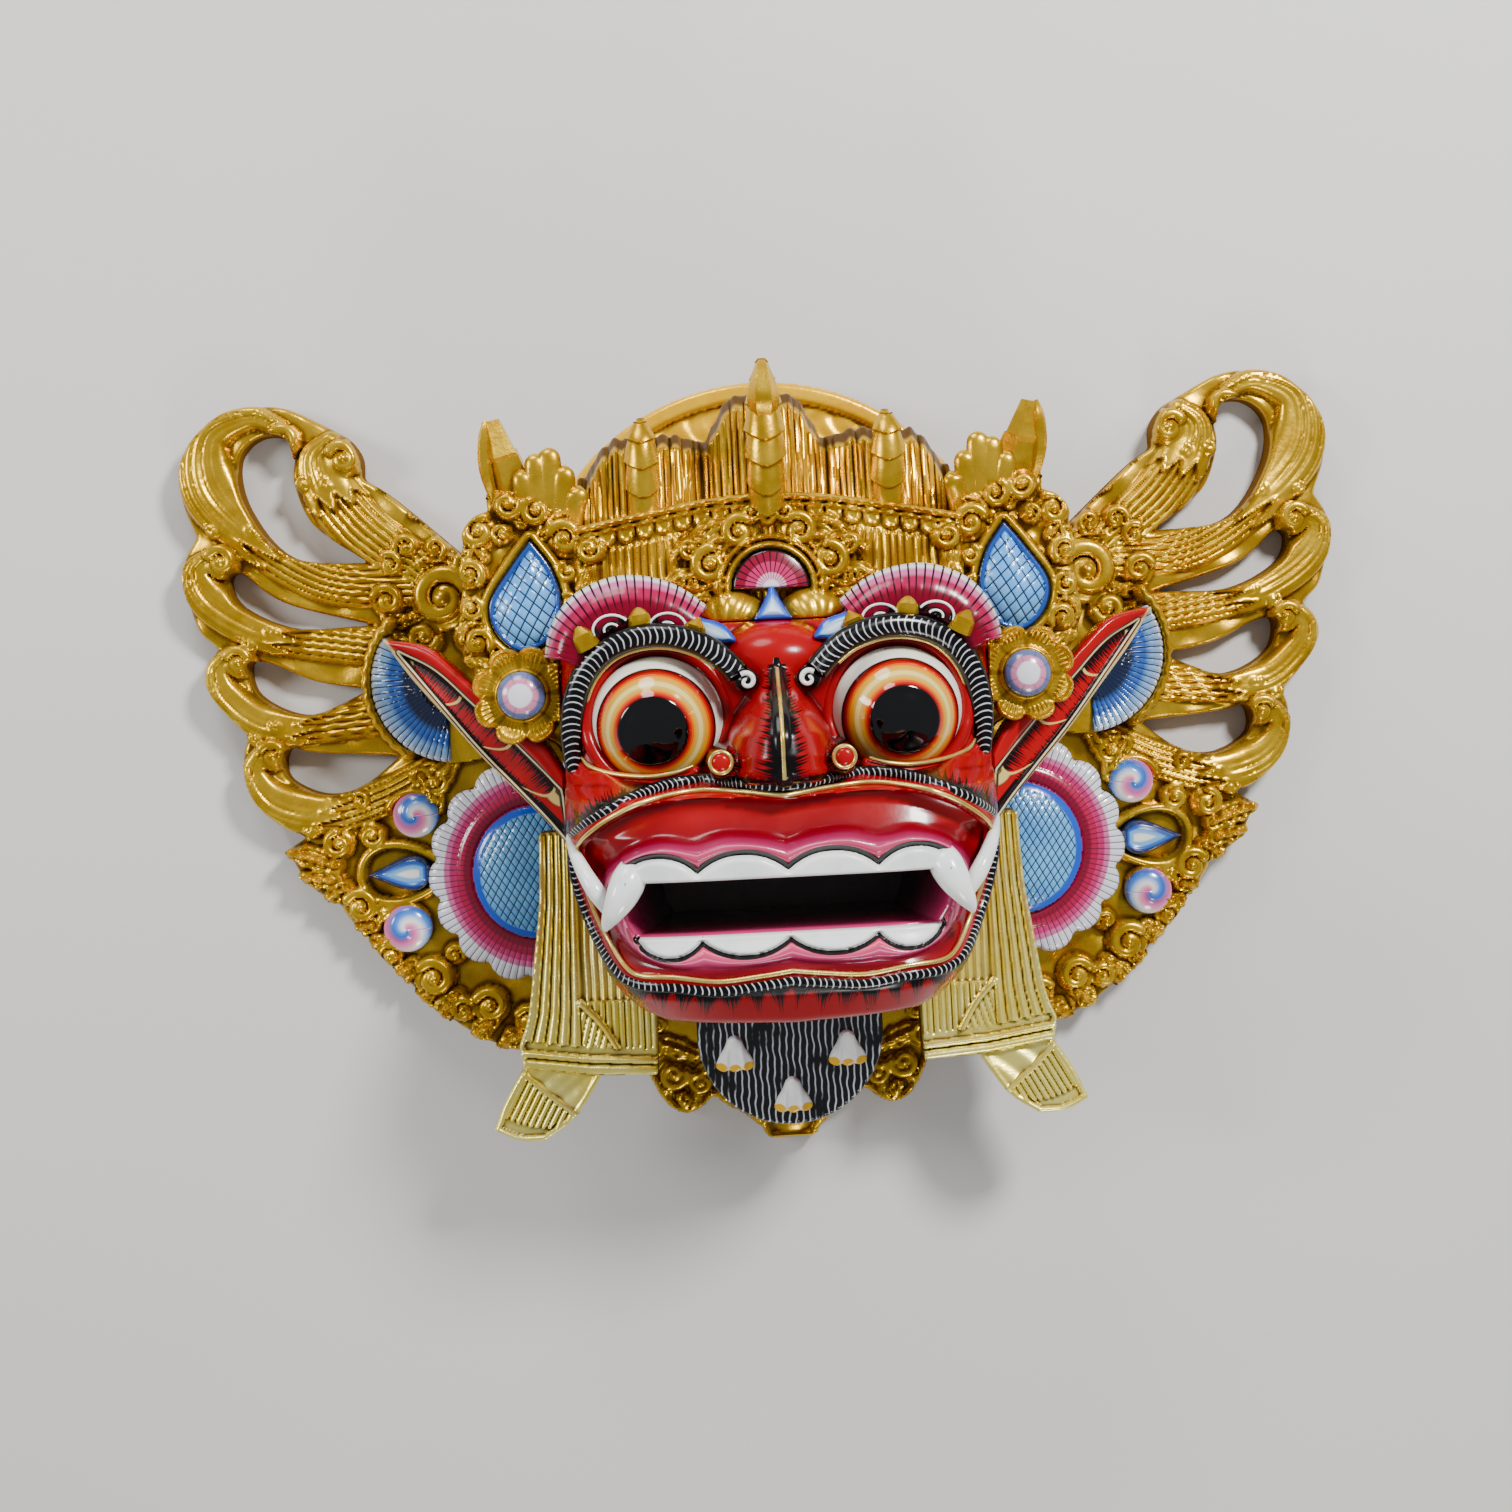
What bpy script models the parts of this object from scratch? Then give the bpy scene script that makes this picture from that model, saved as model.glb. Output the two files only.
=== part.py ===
"""Barong mask lying on its back: X across the face, Y up to the crown, Z out of the face.

The sizes below are millimetres; the shape functions turn them into metres.
"""
import math

import bmesh
import bpy
from mathutils import Matrix, Vector

MM = 0.001
GAP = 0.3
FLAT_ANGLE = 4.0

# Driving dimensions of the whole mask
HALF_SPAN = 245.0
HALF_HEIGHT = 162.5
BOARD = 14.0
PAD = 20.0
CROWN_BASE = PAD + GAP

# Head
HEAD_HALF = 83.5
HEAD_TALL = 200.0
SHELL_SIDE = 14.0
MOUTH_HALF = 60.0
MOUTH_TOP = -33.5
MOUTH_LOW = -55.0
EYE_AT = (46.0, 24.0, 94.0)
EYE_RADIUS = 27.0
BROW_RADIUS = 4.4

# Crown
PANEL_FRONT = 86.0
PLATE_FRONT = 80.0
HALO_CENTRE_Y = 61.0
HALO_RADIUS = HALF_HEIGHT - HALO_CENTRE_Y
HALO_HALF = 84.0
HALO_RIM = 8.0

# Ears and flowers
EAR_ROOT_TOP = 86.0
EAR_SLOPE = -0.36
EAR_THICK = 13.0
FLOWER_AT = (98.5, 35.6)
FLOWER_BASE = 86.3
FLOWER_RADIUS = 19.5

# Ribbons, beard and chin ornament
RIBBON_TOP_Z = 46.5
RIBBON_SLOPE = 0.15
RIBBON_THICK = 14.0
RIBBON_START = -22.0
BEARD_CENTRE = (0.0, -107.0)
BEARD_RADIUS = 38.0
BEARD_FRONT = 62.0
BEARD_THICK = 12.0
ORNAMENT_THICK = 13.0

# Plan of the head, right half, from the top centre to the chin
HEAD_PLAN = [
    (0, 60.3), (23, 60.3), (29, 63.5), (38, 71.5), (49, 76), (61, 76.3), (73, 71), (80, 62),
    (HEAD_HALF, 51), (HEAD_HALF, -26), (78, -43), (68, -75), (58, -84), (48, -88), (0, -90.5),
]
# Head loft: height along Y, half width, front and corner power of each section
HEAD_SECTIONS = [
    (78, 84, 84, 6), (66, 86, 97, 7), (50, 87, 104, 8), (36, 87, 106, 8), (20, 87, 104, 8),
    (7, 87, 108, 8), (1, 86, 126, 6), (-4, 86, 150, 5), (-18, 86, 156, 5), (-34, 84, 153, 5),
    (-56, 79, 144, 5), (-68, 76, 149, 5), (-78, 70, 145, 5), (-92, 62, 132, 4),
]
# The same for the hollow behind the face
CAVITY_SECTIONS = [
    (47, HEAD_HALF - SHELL_SIDE, 84, 8), (5, HEAD_HALF - SHELL_SIDE, 88, 8),
    (-6, HEAD_HALF - SHELL_SIDE, 126, 6), (-30, 67, 134, 5), (-56, 60, 124, 5), (-75, 52, 118, 4),
]
# Wing outline from the root round the feather hooks to the lower lobe; True marks a corner
WING_PLAN = [
    (84.3, 100, True), (104, 98, True), (123, 90, True), (156, 120), (169, 129, True), (169, 138),
    (174, 146), (182, 151, True), (198, 159), (212, 160.5), (226, 157), (240, 144), (HALF_SPAN, 128),
    (239, 107, True), (244.5, 98), (HALF_SPAN, 86), (241, 69), (233, 60, True), (238, 50), (236, 40),
    (222, 23, True), (225, 12), (222, -3), (214, -13), (201, -22, True), (209, -27, True),
    (200, -43), (187, -52, True), (180, -62), (164, -82, True), (154, -94), (140, -106, True),
    (127, -114), (114, -118, True), (98, -118, True), (84.3, -108, True),
]
WING_HOLES = [
    [(210, 148), (197, 145), (197, 128), (190, 110), (167, 93, True), (200, 97), (217, 118), (220, 138)],
    [(227, 88), (221, 91), (204, 78), (167, 67, True), (200, 67), (222, 77)],
    [(220, 53), (210, 52), (192, 44), (170, 40, True), (196, 30), (217, 39)],
    [(206, 16), (194, 14), (159, 11, True), (176, -1), (192, -4), (207, 4)],
]
# Feathers: spine points with half widths, root first, hook last
FEATHERS = [
    [(152, 92, 9), (169, 107, 11), (181, 122, 9.5), (185, 137, 7), (177, 141, 4.5), (176, 134, 3)],
    [(156, 80, 9), (184, 86, 9.5), (212, 105, 10), (230, 126, 11), (229, 147, 9), (211, 154.5, 5.5),
     (199, 151, 4), (194, 145, 3)],
    [(156, 56, 8), (182, 60, 8), (212, 66, 8), (233, 79, 9), (237, 92, 5.5), (229, 97, 3.5)],
    [(152, 30, 8), (180, 27, 8), (212, 26, 7.5), (229, 38, 7), (232, 50, 4.5), (225, 55, 3)],
    [(146, 4, 8), (166, -6, 8), (190, -12, 9), (211, -7, 8.5), (218, 10, 5.5), (211, 17, 3.5)],
]
FLUTES = [
    (-0.92, -0.35), (-0.95, 0.04), (-0.5, 0.46), (0, 0.16), (0.5, 0.46), (0.95, 0.04), (0.92, -0.35),
]
# Round buds of the wing: place, two radii and height over the board
WING_BUDS = [
    (176, 136, 5, 5, 6), (196, 146, 5, 5, 6), (227, 97, 5, 5, 6), (222, 55, 5, 5, 6),
    (210, 15, 5, 5, 6), (160, 77, 8, 8, 9), (146, 62, 8, 7, 9), (196, -32, 8, 6, 6),
    (181, -48, 8, 7, 8), (166, -71, 8, 7, 8), (149, -88, 9, 8, 8), (130, -102, 9, 8, 8),
    (153, -15, 9.5, 9.5, 9), (159, -61, 10, 10, 9), (161, -39, 13, 7.5, 8),
]
SCROLL = (137.0, 77.0, 14.0)
ROSETTE = (102.0, -40.0)
ROSETTE_RADIUS = 47.0
ROSETTE_TOP = 20.0
ROSETTE_DOME = (28.0, 31.0, 12.0)
ROSETTE_LOBES = 12
EAR_FAN = [(163, 62, True), (168, 40), (162, 22), (148, 9, True), (140, 12, True), (148, 36)]

GOLD = (0.55, 0.33, 0.06, 1.0)
RED = (0.55, 0.01, 0.01, 1.0)
BLACK = (0.01, 0.01, 0.012, 1.0)
SIDES = {"left": -1, "right": 1}


def clear_scene():
    for obj in list(bpy.data.objects):
        bpy.data.objects.remove(obj)


def new_collection(name):
    found = bpy.data.collections.new(name)
    bpy.context.scene.collection.children.link(found)
    return found


def paint(name, colour, roughness, metallic):
    made = bpy.data.materials.new(name)
    made.use_nodes = True
    shader = made.node_tree.nodes["Principled BSDF"]
    shader.inputs["Base Color"].default_value = colour
    shader.inputs["Roughness"].default_value = roughness
    shader.inputs["Metallic"].default_value = metallic
    return made


def keep(obj, look):
    """Moves a finished piece from the cutters to the parts and gives it its material."""
    CUTTERS.objects.unlink(obj)
    PARTS.objects.link(obj)
    obj.hide_render = False
    obj.display_type = "TEXTURED"
    obj.data.materials.clear()
    obj.data.materials.append(look)
    obj.data.shade_smooth()
    obj.data.set_sharp_from_angle(angle=math.radians(35))
    return obj


def helper(name, mesh):
    obj = bpy.data.objects.new(name, mesh)
    CUTTERS.objects.link(obj)
    obj.hide_render = True
    obj.display_type = "WIRE"
    return obj


def from_bmesh(name, made):
    bmesh.ops.scale(made, vec=(MM, MM, MM), verts=made.verts)
    bmesh.ops.recalc_face_normals(made, faces=made.faces)
    mesh = bpy.data.meshes.new(name)
    made.to_mesh(mesh)
    made.free()
    return helper(name, mesh)


def from_curve(name, curve):
    """Makes the curve a closed mesh, in the curve's own place."""
    guide = helper(name + "_guide", curve)
    bpy.context.view_layer.update()
    shape = guide.evaluated_get(bpy.context.evaluated_depsgraph_get())
    mesh = bpy.data.meshes.new_from_object(shape)
    bpy.data.objects.remove(guide)
    made = bmesh.new()
    made.from_mesh(mesh)
    bmesh.ops.remove_doubles(made, verts=made.verts, dist=1e-6)
    bmesh.ops.recalc_face_normals(made, faces=made.faces)
    made.to_mesh(mesh)
    made.free()
    return helper(name, mesh)


def smooth_loop(points, steps):
    """Closed outline through the points, curved except at the ones marked as corners."""
    count = len(points)
    loop = []
    for index in range(count):
        before, here, after, beyond = [points[(index + step) % count] for step in (-1, 0, 1, 2)]
        start, end = Vector(here[:2]), Vector(after[:2])
        leave = end - start if len(here) > 2 else (end - Vector(before[:2])) / 2
        arrive = end - start if len(after) > 2 else (Vector(beyond[:2]) - start) / 2
        straight = len(here) > 2 and len(after) > 2
        for step in range(1 if straight else steps):
            t = step / steps
            loop.append(
                start * (2 * t**3 - 3 * t**2 + 1) + leave * (t**3 - 2 * t**2 + t)
                + end * (3 * t**2 - 2 * t**3) + arrive * (t**3 - t**2)
            )
    return loop


def mirrored(points, side):
    return [(side * point[0], *point[1:]) for point in points]


def head_outline(grow=0.0):
    """The head's plan, all round, grown outward by the given distance."""
    half = [Vector(point) for point in HEAD_PLAN]
    loop = half + [Vector((-point.x, point.y)) for point in reversed(half[1:-1])]
    grown = []
    for index, point in enumerate(loop):
        ahead = (loop[(index + 1) % len(loop)] - point).normalized()
        behind = (point - loop[index - 1]).normalized()
        out = (Vector((-ahead.y, ahead.x)) + Vector((-behind.y, behind.x))).normalized()
        grown.append(point + out * grow / max(0.5, out.dot(Vector((-ahead.y, ahead.x)))))
    return grown


def slab(name, loops, low, high):
    """Flat board with the given outline and holes."""
    curve = bpy.data.curves.new(name, "CURVE")
    curve.dimensions = "2D"
    curve.fill_mode = "BOTH"
    curve.extrude = (high - low) / 2 * MM
    for loop in loops:
        spline = curve.splines.new("POLY")
        spline.points.add(len(loop) - 1)
        spline.use_cyclic_u = True
        for target, point in zip(spline.points, loop):
            target.co = (point[0] * MM, point[1] * MM, 0, 1)
    made = from_curve(name, curve)
    made.data.transform(Matrix.Translation((0, 0, (high + low) / 2 * MM)))
    return made


def tube(name, points, radii, sides=6):
    """Round bar through the points, with a radius at each one."""
    curve = bpy.data.curves.new(name, "CURVE")
    curve.dimensions = "3D"
    curve.bevel_depth = MM
    curve.bevel_resolution = (sides - 4) // 2
    curve.use_fill_caps = True
    spline = curve.splines.new("POLY")
    spline.points.add(len(points) - 1)
    for target, point, radius in zip(spline.points, points, radii):
        target.co = (*(Vector(point) * MM), 1)
        target.radius = radius
    return from_curve(name, curve)


def sweep(name, spine, profile, height):
    """Carries a profile along a flat spine of (x, y, half width), lying at one height."""
    guide = bpy.data.curves.new(name + "_profile", "CURVE")
    guide.dimensions = "2D"
    outline = guide.splines.new("POLY")
    outline.points.add(len(profile) - 1)
    outline.use_cyclic_u = True
    for target, point in zip(outline.points, profile):
        target.co = (point[0] * MM, point[1] * MM, 0, 1)
    section = helper(name + "_section", guide)
    curve = bpy.data.curves.new(name, "CURVE")
    curve.dimensions = "2D"
    curve.bevel_mode = "OBJECT"
    curve.bevel_object = section
    curve.use_fill_caps = True
    spline = curve.splines.new("POLY")
    spline.points.add(len(spine) - 1)
    for target, point in zip(spline.points, spine):
        target.co = (point[0] * MM, point[1] * MM, 0, 1)
        target.radius = point[2]
    made = from_curve(name, curve)
    bpy.data.objects.remove(section)
    made.data.transform(Matrix.Translation((0, 0, height * MM)))
    return made


def dome(name, centre, radii, segments=8, rings=4):
    made = bmesh.new()
    place = Matrix.Translation(centre) @ Matrix.Diagonal((*radii, 1))
    bmesh.ops.create_uvsphere(made, u_segments=segments, v_segments=rings, radius=1, matrix=place)
    return from_bmesh(name, made)


def cylinder(name, centre, radius, low, high, segments=16):
    made = bmesh.new()
    place = Matrix.Translation((*centre, (low + high) / 2))
    bmesh.ops.create_cone(
        made, cap_ends=True, segments=segments, radius1=radius, radius2=radius,
        depth=high - low, matrix=place,
    )
    return from_bmesh(name, made)


def loft(name, sections):
    """Skins closed sections of equal point count, with flat ends."""
    made = bmesh.new()
    rings = [[made.verts.new(point) for point in section] for section in sections]
    for low, high in zip(rings, rings[1:]):
        for index in range(len(low)):
            after = (index + 1) % len(low)
            made.faces.new((low[index], low[after], high[after], high[index]))
    made.faces.new(rings[0][::-1])
    made.faces.new(rings[-1])
    return from_bmesh(name, made)


def arch(height, half, front, power, back, steps):
    """Section of the head: a flat back and a rounded front."""
    section = []
    for index in range(steps + 1):
        turn = math.pi * index / steps
        across, out = math.cos(turn), math.sin(turn)
        section.append((
            half * math.copysign(abs(across) ** (2 / power), across),
            height,
            back + (front - back) * out ** (2 / power),
        ))
    return section


def reeds(name, left, right, count, stations, back):
    """Block with a reeded front: stations are (y, front) pairs."""
    ridge = 1.6
    sections = []
    for height, front in stations:
        section = [(left, height, back)]
        for index in range(2 * count + 1):
            across = left + (right - left) * index / (2 * count)
            section.append((across, height, front - ridge * (1 - index % 2)))
        section.append((right, height, back))
        sections.append(section)
    return loft(name, sections)


def lean(obj, axis, rate, start):
    """Leans a flat piece: past the start, its height changes at this rate along the axis."""
    for vertex in obj.data.vertices:
        vertex.co.z += (abs(vertex.co[axis]) - start * MM) * rate
    return obj


def combine(obj, operation, parts):
    """Plans one Boolean of the piece with all the given parts."""
    PLANNED.append((obj, operation, parts))


def add_boolean(obj, operation, parts):
    group = bpy.data.collections.new(f"{obj.name}_{operation.lower()}")
    CUTTERS.children.link(group)
    for part in parts:
        CUTTERS.objects.unlink(part)
        group.objects.link(part)
    modifier = obj.modifiers.new(operation.title(), "BOOLEAN")
    modifier.operation = operation
    modifier.operand_type = "COLLECTION"
    modifier.collection = group
    modifier.solver = "EXACT"


def tidy(obj):
    """Joins faces that lie almost in one plane."""
    modifier = obj.modifiers.new("Tidy", "DECIMATE")
    modifier.decimate_type = "DISSOLVE"
    modifier.angle_limit = math.radians(FLAT_ANGLE)


def head_cutter(name):
    return slab(name, [head_outline(GAP)], -1, HEAD_TALL)


def wing(word, side):
    name = f"wing_{word}"
    outline = mirrored(smooth_loop(WING_PLAN, 2), side)
    holes = [mirrored(smooth_loop(hole, 1), side) for hole in WING_HOLES]
    board = slab(name, [outline, *holes], 0, BOARD)
    added = [
        sweep(f"{name}_feather_{index}", mirrored(spine, side), FLUTES, BOARD)
        for index, spine in enumerate(FEATHERS)
    ]
    for index, (x, y, wide, tall, high) in enumerate(WING_BUDS):
        added.append(dome(f"{name}_bud_{index}", (side * x, y, BOARD - 1), (wide, tall, high), 7))
    added.append(spiral(f"{name}_scroll", SCROLL, side, BOARD + 1, 3.6))
    ring = scalloped(ROSETTE, ROSETTE_RADIUS, 1.5, ROSETTE_LOBES)
    added.append(slab(f"{name}_rosette", [mirrored(ring, side)], 2, ROSETTE_TOP))
    centre = (side * ROSETTE[0], ROSETTE[1], ROSETTE_TOP - 1)
    added.append(dome(f"{name}_rosette_dome", centre, ROSETTE_DOME, 14))
    fan = slab(f"{name}_ear_fan", [mirrored(smooth_loop(EAR_FAN, 2), side)], 3, 28)
    added.append(fan)
    rest = mirrored([(80, 30), (116, 30), (116, 112), (80, 100)], side)
    added.append(slab(f"{name}_pad", [rest], 1, PAD))
    edge = HALO_HALF + GAP
    inner = mirrored([(40, -140), (edge, -140), (edge, 140), (40, 140)], side)
    combine(board, "UNION", added)
    combine(board, "DIFFERENCE", [slab(f"{name}_inside", [inner], -1, 60)])
    return keep(board, paint(name, GOLD, 0.3, 1.0))


def spiral(name, place, side, height, thick):
    """Raised scroll: a bar that winds inward and rises to its eye."""
    x, y, radius = place
    turns, count = 1.25, 9
    rise = 2.0
    points = []
    radii = []
    for index in range(count):
        share = index / (count - 1)
        angle = math.radians(60) + turns * 2 * math.pi * share
        reach = radius * (1 - 0.85 * share)
        across, up = reach * math.cos(angle), reach * math.sin(angle)
        points.append((side * (x + across), y + up, height + rise * share))
        radii.append(thick * (1 - 0.35 * share))
    return tube(name, points, radii, 4)


def scalloped(centre, radius, depth, lobes):
    """Round outline with one lobe for each petal."""
    loop = []
    for index in range(2 * lobes):
        angle = math.pi * index / lobes
        reach = radius - depth * (index % 2)
        loop.append((centre[0] + reach * math.cos(angle), centre[1] + reach * math.sin(angle)))
    return loop


def arc(radius, most):
    """Points of the halo's edge, from side to side."""
    steps = 14
    turns = [most * (2 * index / steps - 1) for index in range(steps + 1)]
    return [(radius * math.sin(turn), HALO_CENTRE_Y + radius * math.cos(turn)) for turn in turns]


def halo():
    half_angle = math.asin(HALO_HALF / HALO_RADIUS)
    outline = arc(HALO_RADIUS, half_angle) + [(HALO_HALF, 45), (-HALO_HALF, 45)]
    board = slab("halo", [outline], 0, BOARD)
    rim_angle = half_angle * 0.96
    band = arc(HALO_RADIUS - 0.6, rim_angle) + arc(HALO_RADIUS - HALO_RIM, rim_angle)[::-1]
    rim = slab("halo_rim", [band], BOARD - 3, BOARD + 4)
    combine(board, "UNION", [rim])
    combine(board, "DIFFERENCE", [head_cutter("halo_cut")])
    return keep(board, paint("halo", GOLD, 0.3, 1.0))


def head():
    steps = 14
    base = loft("head", [arch(y, half, front, power, 0, steps) for y, half, front, power in HEAD_SECTIONS])
    added = [
        tube("head_nose", [(0, 42, 100), (0, 28, 112), (0, 14, 130), (0, 3, 142)], [7, 11, 17, 21], 10),
        dome("head_bump", (0, 44, 98), (23, 16, 19), 12),
        tube("head_moustache", moustache_line(), [4.2] * 11),
        tube("head_lower_lip", lower_lip_line(), [4.0] * 9),
    ]
    for word, side in SIDES.items():
        added += eye_parts(word, side) + fang_parts(word, side)
        added.append(dome(f"head_nostril_{word}", (side * 22.6, 7.5, 140), (6, 6, 6), 8))
    added += teeth("upper", (0, 33, 61), MOUTH_TOP, 8.5, 151)
    added += teeth("lower", (0, 32.5, 56), MOUTH_LOW, 8, 142)
    hollow = [arch(y, half, front, power, -2, 8) for y, half, front, power in CAVITY_SECTIONS]
    cavity = loft("head_cavity", hollow)
    mouth = mouth_cutter()
    combine(base, "UNION", added)
    combine(base, "INTERSECT", [slab("head_plan", [head_outline()], -1, HEAD_TALL)])
    combine(base, "DIFFERENCE", [cavity, mouth])
    return keep(base, paint("head", RED, 0.25, 0.0))


def front_of(x, y):
    """Front of the bare head at a place, from its sections."""
    for (y0, w0, f0, p0), (y1, w1, f1, p1) in zip(HEAD_SECTIONS, HEAD_SECTIONS[1:]):
        if y0 >= y >= y1:
            t = (y0 - y) / (y0 - y1)
            half, front, power = w0 + (w1 - w0) * t, f0 + (f1 - f0) * t, p0 + (p1 - p0) * t
            return front * max(0.0, 1 - abs(x / half) ** power) ** (1 / power)
    return 0.0


def moustache_line():
    line = []
    for index in range(11):
        share = index / 5 - 1
        x = 78 * share
        y = 1 - 17 * share**6 - 1.5 * math.cos(3 * math.pi * share) * (1 - share**2)
        line.append((x, y, front_of(x, min(y, -4) - 2) - 1.0))
    return line


def lower_lip_line():
    line = []
    for index in range(9):
        share = index / 4 - 1
        x = 66 * share
        y = -69 + 14 * share**6
        line.append((x, y, front_of(x, y) - 1.5))
    return line


def eye_parts(word, side):
    x, y, z = EYE_AT
    brow = [
        (79, 7, 100), (79, 22, 103), (76.5, 37, 106), (69.5, 48.5, 109), (58, 56, 111),
        (44, 57.8, 113), (30, 54, 115), (20, 47, 117), (13.5, 40, 119),
    ]
    frill = [(77.5, 50, 6), (73, 60, 6.5), (65, 67, 7), (54, 69.5, 7), (43, 67.5, 6.5), (33, 61, 5)]
    fan = [(-1, -0.8), (-0.9, 0.2), (0, 0.35), (0.9, 0.1), (1, -0.8)]
    lid = [(76, 5, 100), (60, -2, 112), (44, -2.5, 116), (30, 0, 124)]
    return [
        dome(f"head_eye_{word}", (side * x, y, z), (EYE_RADIUS,) * 3, 14, 8),
        tube(f"head_brow_{word}", mirrored(brow, side), [3.2] + [BROW_RADIUS] * 7 + [4.8]),
        tube(f"head_lid_{word}", mirrored(lid, side), [2, 3, 3, 2]),
        sweep(f"head_frill_{word}", mirrored(frill, side), fan, 96),
    ]


def fang_parts(word, side):
    fang = [(60, -27, 140), (64, -34, 144), (67.5, -42, 145), (69, -49, 143)]
    tusk = [(70, -44, 124), (74, -36, 123), (78, -28, 119), (80.5, -20, 113)]
    return [
        tube(f"head_fang_{word}", mirrored(fang, side), [6.5, 6, 4.2, 1.6], 8),
        tube(f"head_tusk_{word}", mirrored(tusk, side), [5.5, 4.8, 3.5, 1.8]),
    ]


def teeth(row, edges, height, tall, front):
    """Four scalloped teeth of a row, each a flat bud that the mouth's edge cuts straight."""
    made = []
    for word, side in SIDES.items():
        for index, (near, far) in enumerate(zip(edges, edges[1:])):
            middle = (near + far) / 2
            out = front_of(middle, height) - 2.5
            made.append(dome(
                f"head_{row}_tooth_{word}_{index}", (side * middle, height, min(out, front)),
                ((far - near) / 2, tall, 6.5), 10, 4,
            ))
    return made


def mouth_cutter():
    middle = (MOUTH_TOP + MOUTH_LOW) / 2
    half_tall = (MOUTH_TOP - MOUTH_LOW) / 2
    loop = []
    for index in range(16):
        turn = 2 * math.pi * (index + 0.5) / 16
        across, up = math.cos(turn), math.sin(turn)
        loop.append((
            MOUTH_HALF * math.copysign(abs(across) ** 0.45, across),
            middle + half_tall * math.copysign(min(1, abs(up) ** 0.3), up),
        ))
    return slab("head_mouth", [loop], 95, HEAD_TALL)


def crown():
    panel = [
        (0, 109), (24, 107), (56, 102), (76, 98), (76, 60), (40, 40), (-40, 40), (-76, 60),
        (-76, 98), (-56, 102), (-24, 107),
    ]
    made = slab("crown", [panel], CROWN_BASE, PANEL_FRONT)
    band = [(-75, 98, 84), (-40, 105, 86), (0, 110, 88), (40, 105, 86), (75, 98, 84)]
    added = [
        tube("crown_band", band, [3, 3, 3.6, 3, 3]),
        reeds("crown_curtain", -22, 22, 7, [(104, 80), (137, 83), (149, 70)], 58),
        dome("crown_fan", (0, 73, 84), (16, 16, 17), 12),
        horn("crown_leaf", 0, [(104, 80, 8), (124, 90, 9), (142, 95, 7.5), (158.6, 98, 3)]),
        horn("crown_point", 0, [(52, 86, 9), (66, 95, 5.5), (74, 98, 1.5)]),
    ]
    for word, side in SIDES.items():
        added += crown_side(word, side)
    combine(made, "UNION", added)
    combine(made, "DIFFERENCE", [head_cutter("crown_cut")])
    return keep(made, paint("crown", GOLD, 0.3, 1.0))


def horn(name, x, stations):
    """Pointed leaf that rises along Y at one X."""
    return tube(name, [(x, y, z) for y, z, radius in stations], [radius for y, z, radius in stations])


def crown_side(word, side):
    plate = [
        (74, 45, True), (84, 12, True), (104, 32, True), (119, 46, True), (123, 58), (121, 74),
        (120, 90, True), (117, 102), (109, 108), (110, 115, True), (100, 117.5), (88, 113),
        (74, 104, True),
    ]
    leaf = [(93, 96, True), (85, 84), (82, 70), (88, 56), (99, 52.5), (108, 60), (110, 72), (101, 86)]
    left, right = sorted((side * 21, side * 74))
    low, high = sorted((side * 27, side * 76))
    tilt = mirrored([(99, 108, 62), (103, 122, 74), (105, 134, 81), (104.5, 143, 84)], side)
    boss = (side * FLOWER_AT[0], FLOWER_AT[1] + 1)
    second = [(98, 76, 7), (116, 84, 7.5), (130, 88, 6), (140, 90, 2)]
    small = [(104, 70, 6), (120, 80, 6), (131, 84, 2)]
    added = [
        slab(f"crown_plate_{word}", [mirrored(smooth_loop(plate, 2), side)], CROWN_BASE, PLATE_FRONT),
        slab(f"crown_lattice_{word}", [mirrored(smooth_loop(leaf, 2), side)], 40, PLATE_FRONT + 4),
        cylinder(f"crown_boss_{word}", boss, 7.5, 40, FLOWER_BASE - GAP, 12),
        reeds(f"crown_curtain_{word}", left, right, 8, [(96, 78), (125, 80), (134, 68)], 56),
        reeds(f"crown_reeds_{word}", low, high, 7, [(55, PANEL_FRONT + 3), (99, PANEL_FRONT)], 60),
        horn(f"crown_second_leaf_{word}", side * 48, second),
        horn(f"crown_small_leaf_{word}", side * 83, small),
        tube(f"crown_outer_leaf_{word}", tilt, [9, 8.5, 5.5, 1.5]),
        dome(f"crown_lobe_{word}", (side * 22, 66, 86), (11, 9, 9), 10),
    ]
    buds = [(112, 101, 8), (97, 108, 8), (80, 101, 8), (116, 82, 7), (117, 60, 7), (19, 92, 9)]
    for index, (x, y, radius) in enumerate(buds):
        front = PLATE_FRONT if x > 60 else PANEL_FRONT
        added.append(dome(f"crown_bud_{word}_{index}", (side * x, y, front), (radius, radius, 7), 7))
    return added


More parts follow.
